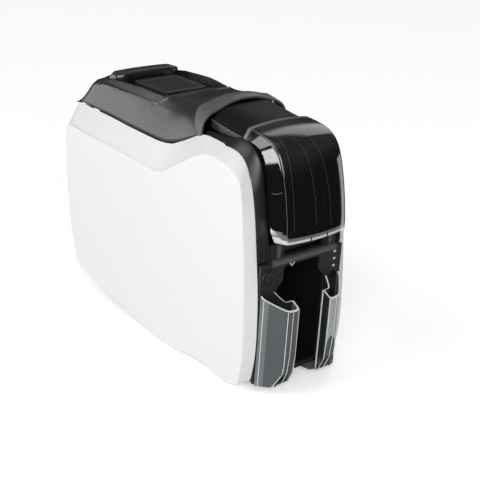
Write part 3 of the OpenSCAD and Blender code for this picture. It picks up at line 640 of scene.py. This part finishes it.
def hood():
    """The low bar across the rear of the tray."""
    # sections in Y, Z from front foot over the top to the rear foot
    def sec(x):
        ax = abs(x)
        e = smooth((42.0 - ax) / 9.0)          # 0 at the very end
        top = 300.0 + 1.3 * (1 - (x / 42.0) ** 2)
        y0, y1 = 124.0, 151.0
        h = (top - 286.0)
        sh = 1 - (1 - e) ** 2 * 0.0
        a = (1 - e) * 7.0
        return [(y0 + a * 0.9, 285.0), (y0 + a * 0.9, 285.0 + h * 0.72), (y0 + 0.5 + a, 285.0 + h * 0.88), (y0 + 2.0 + a, top - 0.45 - (1 - e) * 2.4),
                (y0 + 5.0 + a * 0.6, top - (1 - e) * 2.6), (y0 + 13.0, top + 0.1 - (1 - e) * 2.6), (y1 - 5.0 - a * 0.5, top - 1.6 - (1 - e) * 2.2),
                (y1 - 1.5 - a, top - 3.4 - (1 - e) * 1.4), (y1 - a, 285.0 + h * 0.5), (y1 - a, 285.0)]
    xs = [-42, -41.7, -40.8, -39.4, -37, -33, -27, -18, -8, 0, 8, 18, 27, 33, 37, 39.4, 40.8, 41.7, 42]
    rows = []
    for x in xs:
        s = spline(sec(x), 3)
        rows.append([(x * 1.16, p[0], p[1] + 1.8 * clamp((p[1] - 286.0) / 12.0)) for p in s])
    n = len(rows[0])
    v = [q for r in rows for q in r]
    f = ring_faces(n, len(rows))
    f += [tuple(range(n - 1, -1, -1)), tuple(range((len(rows) - 1) * n, len(rows) * n))]
    make("lid_hood", v, f, "lid", "lidtop", angle=50)


hood()


def pad():
    """Ribbed release pad."""
    n = 8
    lv = [(0.9, 290.0), (0.25, 290.0), (0.0, 290.35), (0.0, 293.6), (0.25, 294.2), (0.8, 294.5), (1.8, 294.62), (6.0, 294.7), (16.0, 294.75)]
    rings = []
    for d, z in lv:
        rings.append([(x, y, z) for x, y in rrect(34 - d, 50 + d, 117 - d, max(0.6, 10 - d * 0.3), n)])
    m = len(rings[0])
    v = [q for r in rings for q in r]
    f = ring_faces(m, len(rings)) + [tuple(range(m - 1, -1, -1)), tuple(range((len(rings) - 1) * m, len(rings) * m))]
    parts = [(v, f)]
    for i in range(9):
        y = 60 + 5.2 * i
        prof = [(y - 0.1, 294.3), (y + 0.25, 295.2), (y + 0.7, 295.65), (y + 1.1, 295.75), (y + 1.5, 295.65), (y + 1.95, 295.2), (y + 2.3, 294.3)]
        rr = []
        for x, k in ((-27.2, 0.0), (-26.9, 0.55), (-26.2, 0.9), (-25, 1.0), (25, 1.0), (26.2, 0.9), (26.9, 0.55), (27.2, 0.0)):
            rr.append([(x, p[0] + (y + 1.1 - p[0]) * (1 - k) * 0.5, 294.3 + (p[1] - 294.3) * k + 0.0) for p in prof])
        q = len(prof)
        vv = [a for r in rr for a in r]
        ff = ring_faces(q, len(rr)) + [tuple(range(q - 1, -1, -1)), tuple(range((len(rr) - 1) * q, len(rr) * q))]
        parts.append((vv, ff))
    stem = prism([(84.5, 266.2), (91.5, 273.2), (91.5, 290.1), (84.5, 290.1)], "x", -3.5, 3.5)
    parts.append(stem)
    v, f = add(parts)
    make("release_pad", v, f, "latch_pad", "pad", ("latch_pad",), angle=40)


pad()


def band():
    st = [(-59.5,277,299,311,0), (-50,273,301,313,6), (-39,269,302.5,311.5,15)]
    cs = [(62.8,0,0), (62.4,.3,0), (60.8,.6,0), (57.5,.82,0), (52,1,0), (40,1,.35), (20,1,.85), (0,1,1)]
    def pt(s, c, sg):
        d = 1 - c[1]
        return (sg * c[0], s[0] - s[4] * d, s[1] + s[4] / 2 * d + (s[2] - s[1] - s[4] / 2 * d) * c[1] + (s[3] - s[2]) * c[2])
    rows = []
    for s in st:
        rows.append([pt(s, c, -1) for c in cs] + [pt(s, c, 1) for c in cs[-2::-1]])
    rows = refine(rows, 5, 6)
    v, f, rim = shell(rows, 2.6, flip=True)
    make("saddle_trim", v, f, "lid", "band", ("saddle_band",), angle=50, bevel=0.45, bang=50)
    # dark lip that closes the joint between the trim and the lid's skin
    lip = [[], [], [], []]
    for q in rows[-1]:
        q = Vector(q)
        d = Vector((-0.9 * q.x, 0, -(q.z - 262.0)))
        d = d.normalized() if d.length > 1e-6 else Vector((0, 0, -1))
        for k, (a, b) in enumerate(((1.0, -0.9), (3.2, -0.3), (3.9, 2.5), (3.5, 5.5))):
            lip[k].append(tuple(q + d * a + Vector((0, b, 0))))
    v, f, rim = shell(lip, 1.1, flip=True)
    make("saddle_lip", v, f, "lid", "black_deep", angle=50)


band()


def cap():
    st = [(-60.2,294.5,308.5), (-76,292,306.6), (-95,289.8,304.5), (-114,288.2,302.5)]
    ys = spline(st, 8)
    xs = [0, 6, 12, 18, 24, 30, 35, 39, 42, 44.5, 46.5, 48, 49.2, 50.0, 50.6]
    def top(s, x):
        return s[2] - (s[2] - s[1]) * (abs(x) / 51.2) ** 3.4
    rows = []
    for s in ys:
        row = [(-x, s[0], top(s, x)) for x in xs[::-1]] + [(x, s[0], top(s, x)) for x in xs[1:]]
        rows.append(row)
    v, f, rim = shell(rows, 2.6, flip=True)
    make("tap_cap_top", v, f, "body", "gloss", ("tap_cap",), angle=50, bevel=0.35, bang=55)
    for sg in (-1, 1):
        rows = []
        for s in ys:
            e = s[1]
            prof = [(48.9, e - 9.3), (51.0, e - 9.5), (51.4, e - 9.1), (51.4, e - 5), (51.4, e - 0.6), (51.25, e - 0.1), (50.9, e + 0.15), (50.72, e + 0.1), (50.6, e - 0.6), (48.9, e - 1.4)]
            rows.append([(sg * x, s[0], z) for x, z in prof])
        n = len(rows[0])
        vv = [q for r in rows for q in r]
        ff = ring_faces(n, len(rows)) + [tuple(range(n - 1, -1, -1)), tuple(range((len(rows) - 1) * n, len(rows) * n))]
        make("tap_cap_rail_" + ("r" if sg > 0 else "l"), vv, ff, "body", "bezel", angle=40)
        # a thin light line along the cap's top edge: painted highlight
        e = [(sg * 51.15, s[0], s[1] + 0.02) for s in ys]
        tv, tf = tube(e, 0.30, 8)
        make("tap_cap_edge_" + ("r" if sg > 0 else "l"), tv, tf, "body", "edge_line", angle=60)


cap()

# ---------------------------------------------------------------- hopper cover

cov_c = [(-115.5,302.5), (-126,302), (-138,301), (-151,298.8), (-162,295), (-171,288),
  (-178,277), (-184.5,257), (-189.5,236), (-193,216), (-194.6,199), (-195.2,191), (-195.4,186)]
cov_e = [(-115.5,298.5), (-126,298), (-138,297), (-149,295), (-158,291.6), (-166,285.3),
  (-172.5,275), (-178.5,256), (-183.5,236), (-187.5,216), (-189.3,199), (-189.9,191), (-190.2,186)]
cov_g = [(-115.5,293.8), (-124,293), (-134,291.6), (-143,288.6), (-151,283.5), (-157.5,275.5),
  (-162,265), (-165.5,248), (-169.5,230), (-174.5,213), (-179.5,198), (-183.2,190.5), (-184.6,186)]
cov_b = [(-115.5,288.2), (-122,286.8), (-129,284.8), (-137,281), (-143,275), (-147.5,267),
  (-150.5,257), (-153,244), (-156,228), (-160.5,212), (-166.5,198.5), (-173.0,190.5), (-177,186)]


def cover_rows():
    rows = []
    for c, e, k, b in zip(cov_c, cov_e, cov_g, cov_b):
        half = [(51.4, b), (50.0, mix(b, k, .45)), (48.4, mix(k, e, .02)), (46.9, mix(k, e, .45)), (45.5, mix(k, e, .86)), (44.2, mix(c, e, .97)), (40.5, mix(c, e, .76)), (31, mix(c, e, .46)), (16, mix(c, e, .13))]
        rows.append([(-x, p[0], p[1]) for x, p in half] + [(0, c[0], c[1])] + [(x, p[0], p[1]) for x, p in half[::-1]])
    rows = [[list(q) for q in row] for row in refine(rows, 4, 4)]
    n, m = len(rows), len(rows[0])
    # even out the run of every column, then make each flank a ruled strip
    for _ in range(26):
        prev = [[list(q) for q in row] for row in rows]
        for i in range(1, n - 1):
            for j in range(m):
                for c in (1, 2):
                    rows[i][j][c] = 0.25 * prev[i - 1][j][c] + 0.5 * prev[i][j][c] + 0.25 * prev[i + 1][j][c]
    for row in rows:
        for side in (0, 1):
            idx = [j for j in range(m) if (row[j][0] < -45.45 if side == 0 else row[j][0] > 45.45)]
            a, b = (idx[0], idx[-1]) if side == 0 else (idx[-1], idx[0])
            A, B = list(row[a]), list(row[b])
            for j in idx:
                t = (abs(A[0]) - abs(row[j][0])) / (abs(A[0]) - abs(B[0]))
                row[j][1] = A[1] + (B[1] - A[1]) * t
                row[j][2] = A[2] + (B[2] - A[2]) * t
    return [[tuple(q) for q in row] for row in rows]


def cover():
    rows = cover_rows()
    v, f, rim = shell(rows, 2.4, flip=True)
    n, m = len(rows), len(rows[0])
    for i in range(n - 1):
        for j in range(m - 1):
            a = rows[i][j]
            z = 0.5 * (rows[i][j][2] + rows[i + 1][j][2])
            x = 0.5 * (rows[i][j][0] + rows[i][j + 1][0])
            # the bottom rim band, a band above it, the two top rear rows and a narrow strip down the right flank take
            # lighter copies of the clear plastic, and the cut edges and the inner face behind them take the edge copy:
            # painted highlights
            w = 0
            if z < 189.4 + 2.0 * smooth((-x - 42.0) / 6.0):
                w = 2
            elif z < 193.0 + 5.0 * smooth((-x - 42.0) / 6.0):
                w = 3
            elif i < 2:
                w = 3
            elif 45.5 < x < 46.6 and z < 288:
                w = 3
            rim[2 * (i * (m - 1) + j)] = w
            rim[2 * (i * (m - 1) + j) + 1] = min(w, 1)
    make("hopper_window", v, f, "hopper_cover", ["smoke", "smoke_edge_highlight", "clear_rim_highlight", "clear_side_highlight"], ("hopper_cover",), angle=50, fmat=rim, bevel=0.4, bang=55)


cover()

# ---------------------------------------------------------------- bezel beside the cover

bez_pts = [[-60,280,-60,273], [-84,280,-83,274], [-100,281.5,-99,275], [-115,287,-113,276.5],
  [-128,285,-126,274], [-137,281,-134,269], [-143,275,-139,263], [-148,266,-144,254],
  [-152,252,-149,242], [-155,235,-153,226], [-160,213,-157,206], [-166,195,-160,190],
  [-169,180,-162,178], [-171,160,-164,160]]


def bezel(sg):
    rows = []
    for a, b, c, d in bez_pts:
        rows.append([(53.2 * sg, a, b), (56.0 * sg, (a * .72 + c * .28) - 0.5, (b * .72 + d * .28) + 0.7),
                     (60.0 * sg, (a + 2.2 * c) / 3.2 - 0.4, (b + 2.2 * d) / 3.2 + 0.5), (63.1 * sg, c, d)])
    rows = refine(rows, 5, 4)
    v, f, rim = shell(rows, 3.4, flip=(sg < 0))
    make("feeder_bezel_" + ("r" if sg > 0 else "l"), v, f, "body", "bezel",
         ("feeder_bezel",) if sg < 0 else (), angle=50, bevel=0.5, bang=50)


bezel(-1)
bezel(1)

# ---------------------------------------------------------------- output wings

wing_plan = [(61.5,-172.2), (62.3,-174), (60,-177.5), (45,-194), (39.5,-198.2), (29,-199.3),
  (24.6,-198), (23.5,-195), (23.5,-186.5), (25.9,-186.5), (25.9,-194.4), (29.4,-196.8), (38.5,-195.8),
  (43,-192.6), (58.5,-176), (59.4,-174), (59,-172.2)]
wing_side = [(-172,122), (-184,114), (-200.5,105), (-200.5,70), (-196.5,26), (-189,9)]


def wing_top(y):
    return 122 + (y + 172) * (122 - 114) / 12 if y > -184 else 114 + (y + 184) * (114 - 105) / 16.5


def wing_bottom(y):
    if y > -189:
        return 9.0
    return 9 + (-189 - y) / 7.5 * 17 if y > -196.5 else min(70, 26 + (-196.5 - y) / 4 * 44)


def wing(sg):
    # plan outline as outer and inner lines of a bent plate
    outer = [(61.5,-172.2), (62.1,-174), (60,-177.5), (52.5,-185.8), (45,-194), (39.5,-198.2), (34.5,-199.0), (29,-199.3), (24.6,-198), (23.5,-195), (23.5,-190.5), (23.5,-186.5)]
    inner = [(59,-172.2), (59.2,-174), (58.0,-176.6), (50.6,-184.6), (43,-192.6), (38.5,-195.8), (34.0,-196.4), (29.4,-196.8), (26.6,-196.0), (25.9,-194.4), (25.9,-190.5), (25.9,-186.5)]
    outer, inner = spline(outer, 4), spline(inner, 4)
    n = len(outer)
    nz = 26
    v, f, mt = [], [], []
    def col(p):
        zb, zt = wing_bottom(p[1]), wing_top(p[1])
        return [(sg * p[0], p[1], zb + (zt - zb) * k / nz) for k in range(nz + 1)]
    for line in (outer, inner):
        for p in line:
            v += col(p)
    q = nz + 1
    o = n * q
    for i in range(n - 1):
        # outer faces take painted light by column: a highlight copy on the strip next to the side panel, a brighter
        # copy on the right wing's front, and the darker copy, painted shade, on the inward return
        w = 2 if i < 10 else 3 if (sg > 0 and 15 <= i < 33) else 4 if i >= 33 else 0
        for k in range(nz):
            f.append((i * q + k, (i + 1) * q + k, (i + 1) * q + k + 1, i * q + k + 1)); mt.append(w)
            f.append((o + i * q + k, o + i * q + k + 1, o + (i + 1) * q + k + 1, o + (i + 1) * q + k)); mt.append(0)
        f.append((i * q, o + i * q, o + (i + 1) * q, (i + 1) * q)); mt.append(0)
        # top faces here and the end faces below take the bright edge copy: a painted highlight
        f.append((i * q + nz, (i + 1) * q + nz, o + (i + 1) * q + nz, o + i * q + nz)); mt.append(1)
    for k in range(nz):
        f.append((k, k + 1, o + k + 1, o + k)); mt.append(1)
        i = n - 1
        f.append((i * q + k, o + i * q + k, o + i * q + k + 1, i * q + k + 1)); mt.append(1)
    side = "right" if sg > 0 else "left"
    make("output_wing_" + side, v, f, "body", ["wing", "wing_edge", "wing_lit", "wing_right", "wing_dark"], (side + "_output_wing",), angle=40, fmat=mt, bevel=0.35, bang=50)
    # bottom shelf
    poly = [(59, -173.0), (57.6, -177), (44, -191), (42, -189.0), (32, -189.0), (26, -188), (16, -184), (13, -172.2), (40, -172.2)]
    pv, pf = prism([(sg * a, b) for a, b in poly], "z", 9.2, 11.0)
    make("output_shelf_" + side, pv, pf, "body", ["wing"], bevel=0.4)


wing(-1)
wing(1)


def wing_inner(sg):
    """The set-back inner wall that closes a wing into a channel and stops the cards."""
    line = spline([(23.8, -186.75), (30.0, -186.6), (34.2, -186.0), (36.8, -183.2), (39.4, -178.0), (41.8, -172.3)], 4)
    nz = 20
    g = []
    for x, y in line:
        zb, zt = 9.2, wing_top(y) - 0.3
        g.append([(sg * x, y, zb + (zt - zb) * k / nz) for k in range(nz + 1)])
    v, f, rim = shell(g, 1.9, flip=(sg > 0))
    rim = [0 if (q and max(v[a][2] for a in face) < 12) else q for q, face in zip(rim, f)]
    side = "right" if sg > 0 else "left"
    # the stop wall takes the darker copy of the clear plastic, painted shade, and its rims above the floor take the
    # bright edge copy, a painted highlight
    make("output_wing_stop_" + side, v, f, "body", ["wing_dark", "wing_edge"], angle=40, fmat=rim, bevel=0.3, bang=50)


wing_inner(-1)
wing_inner(1)

def rib_line(name, paths, r, body, mat):
    v, f = add([tube(spline(p, 6), r, 8) for p in paths])
    return make(name, v, f, body, mat, angle=60)


rib_line("release_pad_shadow_gap", [[(-34.1, 110, 294.1), (-34.1, 90, 294.1), (-34.1, 72, 294.1), (-34.0, 61, 294.1), (-33.0, 54.8, 294.1), (-29.6, 51.0, 294.1),
                                     (-24, 50.0, 294.1), (-10, 49.9, 294.1), (10, 49.9, 294.1), (24, 50.0, 294.1), (29.6, 51.0, 294.1), (33.0, 54.8, 294.1),
                                     (34.0, 61, 294.1), (34.1, 72, 294.1), (34.1, 110, 294.1)]], 0.6, "latch_pad", "black_deep")


def wing_lines(sg):
    """Thin bright lines that run down the front of a wing and follow its cut-back foot: painted highlights on its
    edges.
    """
    side = "right" if sg > 0 else "left"
    def cut(z):
        if z > 70:
            return -200.5
        return -200.5 + (70 - z) / 44.0 * 4.0 if z > 26 else -196.5 + (26 - z) / 17.0 * 7.5
    paths = []
    for x, y, kind in ((60.3, -177.2, 2), (40.6, -197.6, 1), (34.2, -199.0, 0), (24.9, -198.3, 0), (23.5, -187.2, 2)):
        t = wing_top(y) - 0.5
        p = []
        for k in range(17):
            z = t + (9.6 - t) * k / 16
            yy = max(y, cut(z))
            xx = x
            if kind == 1 and yy > y + 0.05:
                for a, b in (((39.5, -198.2), (45, -194)), ((45, -194), (52.5, -185.8))):
                    if a[1] <= yy <= b[1] + 1e-6:
                        xx = a[0] + (b[0] - a[0]) * (yy - a[1]) / (b[1] - a[1])
            p.append([sg * xx, yy + 0.15, z])
        paths.append(p)
    rib_line("wing_mould_lines_" + side, paths, 0.42, "body", "wing_edge")


wing_lines(-1)
wing_lines(1)


def cover_lines():
    """Thin moulded ribs on the inner face of the hopper cover."""
    rows = cover_rows()
    nm = normals_of(rows)
    n = len(rows)
    m = len(rows[0])
    def at(x, i, d):
        row = rows[i]
        for j in range(m - 1):
            if row[j][0] <= x <= row[j + 1][0]:
                t = (x - row[j][0]) / (row[j + 1][0] - row[j][0] + 1e-9)
                p = Vector(row[j]).lerp(Vector(row[j + 1]), t)
                q = nm[i][j].lerp(nm[i][j + 1], t).normalized()
                return tuple(p + q * d)
        return tuple(row[-1])
    # with the grid as laid here the normals point inwards when d is positive
    paths = []
    for x0, x1, i0, i1 in ((-34.0, -36.5, 12, n - 8), (-20.0, -6.0, 11, n - 9), (-4.0, 17.0, 10, n - 8)):
        pts = []
        for k in range(15):
            i = int(round(i0 + (i1 - i0) * k / 14))
            x = x0 + (x1 - x0) * math.sin(math.pi / 2 * k / 14)
            pts.append(at(x, i, COVER_IN * 0.05))
        paths.append(pts)
    rib_line("hopper_window_ribs", paths, 0.15, "hopper_cover", "inner_line")
    # thin light lines along the cover's outer corners and top edge: painted highlights
    outer = []
    for x in (-44.7, 44.7):
        outer.append([at(x, i, -0.06 * COVER_IN) for i in range(2, n - 3, 2)])
    outer.append([tuple(q) for q in rows[0]][1:-1])
    rib_line("hopper_window_notches", [[(x, -195.25 + 0.0008 * x * x, z) for z in (186.2, 187.6, 189.2, 190.9)] for x in (-13.0, 12.0)], 0.62,
             "hopper_cover", "black_deep")
    # a short light line on the catch: painted highlight
    rib_line("hopper_window_catch", [[(-49.3, -164.6, 238.7), (-47.9, -170.6, 239.6), (-46.0, -177.2, 243.0)]], 0.24, "hopper_cover", "edge_line")
    rib_line("hopper_window_edges", outer, 0.20, "hopper_cover", "edge_line")


COVER_IN = 1.0
g0 = cover_rows()
k0 = normals_of(g0)[len(g0) // 2][len(g0[0]) // 2]
if k0.y < 0:
    COVER_IN = -1.0
cover_lines()


def lock():
    pts8 = lambda rad, y: [(-52 + rad * math.cos(math.radians(22.5 + 45 * k)) * 1.0, y, 142 + rad * math.sin(math.radians(22.5 + 45 * k))) for k in range(8)]
    def ring(rad, y, octo):
        out = []
        for k in range(48):
            a = math.radians(360.0 * k / 48)
            if octo:
                b = (math.degrees(a) + 22.5) % 45 - 22.5
                rr = rad * math.cos(math.radians(22.5)) / math.cos(math.radians(b))
            else:
                rr = rad
            out.append((-52 + rr * math.cos(a), y, 142 + rr * math.sin(a)))
        return out
    rings = [ring(9.0, -167.4, 0), ring(9.45, -167.6, 0), ring(9.45, -173.5, 0), ring(9.3, -173.9, 0), ring(8.9, -174.0, 0),
             ring(8.65, -174.0, 1), ring(8.5, -173.9, 1), ring(8.44, -172.7, 1), ring(7.42, -172.7, 1), ring(7.34, -173.9, 1), ring(7.15, -174.0, 1),
             ring(2.4, -174.0, 0), ring(2.2, -173.85, 0), ring(2.1, -173.3, 0), ring(1.2, -173.3, 0)]
    v = [q for g in rings for q in g]
    f = ring_faces(48, len(rings)) + [tuple(range(47, -1, -1)), tuple(range((len(rings) - 1) * 48, len(rings) * 48))]
    slotv, slotf = prism([(-52.35, 140.6), (-51.65, 140.6), (-51.65, 143.4), (-52.35, 143.4)], "y", -173.75, -173.2)
    cam_v, cam_f = prism([(-55, 133.5), (-49, 133.5), (-49, 146), (-55, 146)], "y", -167.5, -164.6)
    v, f = add([(v, f), (slotv, slotf), (cam_v, cam_f)])
    # the barrel takes the lighter copy of the black plastic: painted light
    make("lock_barrel", v, f, "lock_plug", "fascia_lit", ("lock_plug",), angle=40)


lock()


def wedge():
    a, b, c = (-26.4, 160.8), (-8.8, 159.6), (-18.9, 149.4)
    v, f = prism([a, b, c], "y", -174.4, -172.8)
    make("card_guide_wedge", v, f, "body", "wing", bevel=0.3)
    # thin bright lines along the wedge's edges: painted highlights
    path = [(a[0], -174.4, a[1]), (c[0], -174.4, c[1]), (b[0], -174.4, b[1])]
    v, f = add([tube(path, 0.5, 8), tube([(-26.4, -174.4, 160.8), (-8.8, -174.4, 159.6)], 0.4, 8)])
    make("card_guide_wedge_edges", v, f, "body", "wing_edge", angle=60)


wedge()

# ---------------------------------------------------------------- carried-over CAD nodes

# the front fascia takes the lighter copy of the black plastic: painted light
shown_mat = {"pickup_roller": "roller", "entry_roller": "roller", "platen_roller": "roller", "exit_roller": "roller",
             "output_bin": "black_deep", "main_frame": "black_deep", "feeder_tray": "black_deep", "card_guides": "black_deep",
             "feeder_sill": "ledge", "wing_pegs": "black", "front_fascia": "fascia_lit"}
rec_slots = {}


def find_slots(rec):
    """Node name to slot name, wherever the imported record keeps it."""
    out = {}
    def walk(x):
        if isinstance(x, dict):
            if "node" in x and "slot" in x:
                out[x["node"]] = x["slot"]
            for k, y in x.items():
                if isinstance(y, str) and k in nodes and y in SLOT_MAT:
                    out[k] = y
                elif isinstance(y, list) and k in SLOT_MAT and all(isinstance(z, str) and z in nodes for z in y):
                    for z in y:
                        out[z] = k
                walk(y)
        elif isinstance(x, list):
            for y in x:
                walk(y)
    walk(rec)
    return out


rec_slots = find_slots(frame["record"])
for name, ob in nodes.items():
    if ob.hide_render:
        continue
    key = shown_mat.get(name)
    if key is None and name in rec_slots:
        key = SLOT_MAT[rec_slots[name]]
    if key is None:
        for ms in ob.material_slots:
            base = (ms.material.name if ms.material else "").split(".")[0]
            if base in SLOT_MAT:
                key = SLOT_MAT[base]
    key = key or "black"
    if not ob.material_slots:
        ob.data.materials.append(M[key])
    for ms in ob.material_slots:
        ms.material = M[key]
for name in ("front_fascia", "rear_panel", "feeder_sill", "power_inlet", "data_ports", "lock_plug", "power_button",
             "output_bin", "casing_screws", "rubber_feet", "wing_pegs", "base_pan", "main_frame"):
    if name in nodes and not nodes[name].hide_render:
        add_bevel(nodes[name], 0.35 if name not in ("rear_panel", "base_pan", "rubber_feet") else 0.7, 50.0, 2)

# ---------------------------------------------------------------- floor, light, camera


def floor():
    me = bpy.data.meshes.new("floor")
    s, n = 6.0, 12
    vs = [(-s + 2 * s * i / n, -s + 2 * s * j / n, 0.0) for i in range(n + 1) for j in range(n + 1)]
    fs = [(i * (n + 1) + j, (i + 1) * (n + 1) + j, (i + 1) * (n + 1) + j + 1, i * (n + 1) + j + 1) for i in range(n) for j in range(n)]
    me.from_pydata(vs, [], fs)
    o = bpy.data.objects.new("floor", me)
    scene.collection.objects.link(o)
    m = bpy.data.materials.new("studio_floor")
    m.use_nodes = True
    b = m.node_tree.nodes["Principled BSDF"]
    b.inputs["Base Color"].default_value = (0.86, 0.86, 0.86, 1)
    b.inputs["Roughness"].default_value = 0.9
    b.inputs["Specular IOR Level"].default_value = 0.1
    b.inputs["Emission Color"].default_value = (1, 1, 1, 1)
    b.inputs["Emission Strength"].default_value = 0.43
    me.materials.append(m)
    o.visible_glossy = False


floor()

world = bpy.data.worlds.new("studio")
scene.world = world
world.use_nodes = True
wt = world.node_tree
bg = wt.nodes["Background"]
bg.inputs["Color"].default_value = (1.0, 1.0, 1.0, 1)
wtc = wt.nodes.new("ShaderNodeTexCoord")


def lobe(direction, lo, hi, amp, floor_value=0.0):
    """A soft patch of studio wall in one direction."""
    d = Vector(direction).normalized()
    dp = wt.nodes.new("ShaderNodeVectorMath")
    dp.operation = "DOT_PRODUCT"
    dp.inputs[1].default_value = d
    wt.links.new(wtc.outputs["Generated"], dp.inputs[0])
    mr = wt.nodes.new("ShaderNodeMapRange")
    mr.interpolation_type = "SMOOTHSTEP"
    mr.inputs["From Min"].default_value = lo
    mr.inputs["From Max"].default_value = hi
    mr.inputs["To Min"].default_value = floor_value
    mr.inputs["To Max"].default_value = amp
    wt.links.new(dp.outputs["Value"], mr.inputs["Value"])
    return mr.outputs["Result"]


wsep = wt.nodes.new("ShaderNodeSeparateXYZ")
wt.links.new(wtc.outputs["Generated"], wsep.inputs[0])
waz = wt.nodes.new("ShaderNodeMath")
waz.operation = "ARCTAN2"
wt.links.new(wsep.outputs["Y"], waz.inputs[0])
wt.links.new(wsep.outputs["X"], waz.inputs[1])


def window(az0, az1, z0, z1, amp, soft=0.012, y1=None, ysoft=0.03):
    """A bright panel of the studio wall between two azimuths (degrees) and two heights."""
    def step(src, edge, sign):
        mr = wt.nodes.new("ShaderNodeMapRange")
        mr.interpolation_type = "SMOOTHSTEP"
        mr.inputs["From Min"].default_value = edge - soft * sign
        mr.inputs["From Max"].default_value = edge + soft * sign
        mr.inputs["To Min"].default_value = 0.0
        mr.inputs["To Max"].default_value = 1.0
        if sign < 0:
            mr.inputs["From Min"].default_value = edge - soft
            mr.inputs["From Max"].default_value = edge + soft
            mr.inputs["To Min"].default_value = 1.0
            mr.inputs["To Max"].default_value = 0.0
        wt.links.new(src, mr.inputs["Value"])
        return mr.outputs["Result"]
    out = None
    masks = [step(waz.outputs[0], math.radians(az0), 1), step(waz.outputs[0], math.radians(az1), -1),
             step(wsep.outputs["Z"], z0, 1), step(wsep.outputs["Z"], z1, -1)]
    if y1 is not None:
        soft = ysoft
        masks.append(step(wsep.outputs["Y"], y1, -1))
    for v in masks:
        if out is None:
            out = v
            continue
        mu = wt.nodes.new("ShaderNodeMath")
        mu.operation = "MULTIPLY"
        wt.links.new(out, mu.inputs[0])
        wt.links.new(v, mu.inputs[1])
        out = mu.outputs[0]
    mu = wt.nodes.new("ShaderNodeMath")
    mu.operation = "MULTIPLY"
    mu.inputs[1].default_value = amp
    wt.links.new(out, mu.inputs[0])
    return mu.outputs[0]


def total(values):
    out = values[0]
    for v in values[1:]:
        ad = wt.nodes.new("ShaderNodeMath")
        ad.operation = "ADD"
        wt.links.new(out, ad.inputs[0])
        wt.links.new(v, ad.inputs[1])
        out = ad.outputs[0]
    return out


wt.links.new(total([
    lobe((0, 0, 1), 0.05, 0.55, 0.21, 0.03),
    lobe((-0.54, 0.84, -0.18), 0.885, 0.99, 2.1),
    lobe((-0.70, 0.32, 0.66), 0.92, 0.985, 2.8),
    lobe((0, 0, 1), 0.86, 1.0, 0.7),
    window(147, 172, -0.145, 0.045, 9.6),
    window(140, 170, 0.105, 0.34, 4.2),
    window(12, 60, 0.22, 0.72, 1.5, 0.06, 0.570, 0.035),
    window(-26.0, -15, -0.45, 0.10, 2.6, 0.02),
]), bg.inputs["Strength"])


def softbox(name, direction, dist, w, h, radiance, target=(0.0, -0.12, 0.26)):
    """A rectangular softbox of even brightness, facing the object."""
    l = bpy.data.lights.new(name, "AREA")
    l.shape = "RECTANGLE"
    l.size, l.size_y = w, h
    l.energy = radiance * math.pi * w * h
    o = bpy.data.objects.new(name, l)
    scene.collection.objects.link(o)
    d = Vector(direction).normalized()
    o.location = Vector(target) + d * dist
    o.rotation_euler = (-d).to_track_quat("-Z", "Y").to_euler()
    return o


softbox("front_fill", (-0.72, -0.80, 0.50), 2.0, 1.3, 1.1, 6.0)

psi, pit, rho = math.radians(42.352), math.radians(22.762), math.radians(3.902)
fw = Vector((math.sin(psi) * math.cos(pit), math.cos(psi) * math.cos(pit), -math.sin(pit)))
rt = Vector((math.cos(psi), -math.sin(psi), 0.0))
up = rt.cross(fw)
r2 = rt * math.cos(rho) + up * math.sin(rho)
u2 = up * math.cos(rho) - rt * math.sin(rho)
cam = bpy.data.cameras.new("camera")
cam.sensor_width = 36.0
cam.lens = 1126.982 / 480.0 * 36.0
cam.clip_start, cam.clip_end = 0.05, 40.0
cam_o = bpy.data.objects.new("camera", cam)
scene.collection.objects.link(cam_o)
cam_o.matrix_world = Matrix(((r2.x, u2.x, -fw.x, -0.842564), (r2.y, u2.y, -fw.y, -0.988934), (r2.z, u2.z, -fw.z, 0.661794), (0, 0, 0, 1)))
scene.camera = cam_o
scene.view_settings.view_transform = "Standard"
scene.view_settings.look = "None"

bpy.context.view_layer.update()
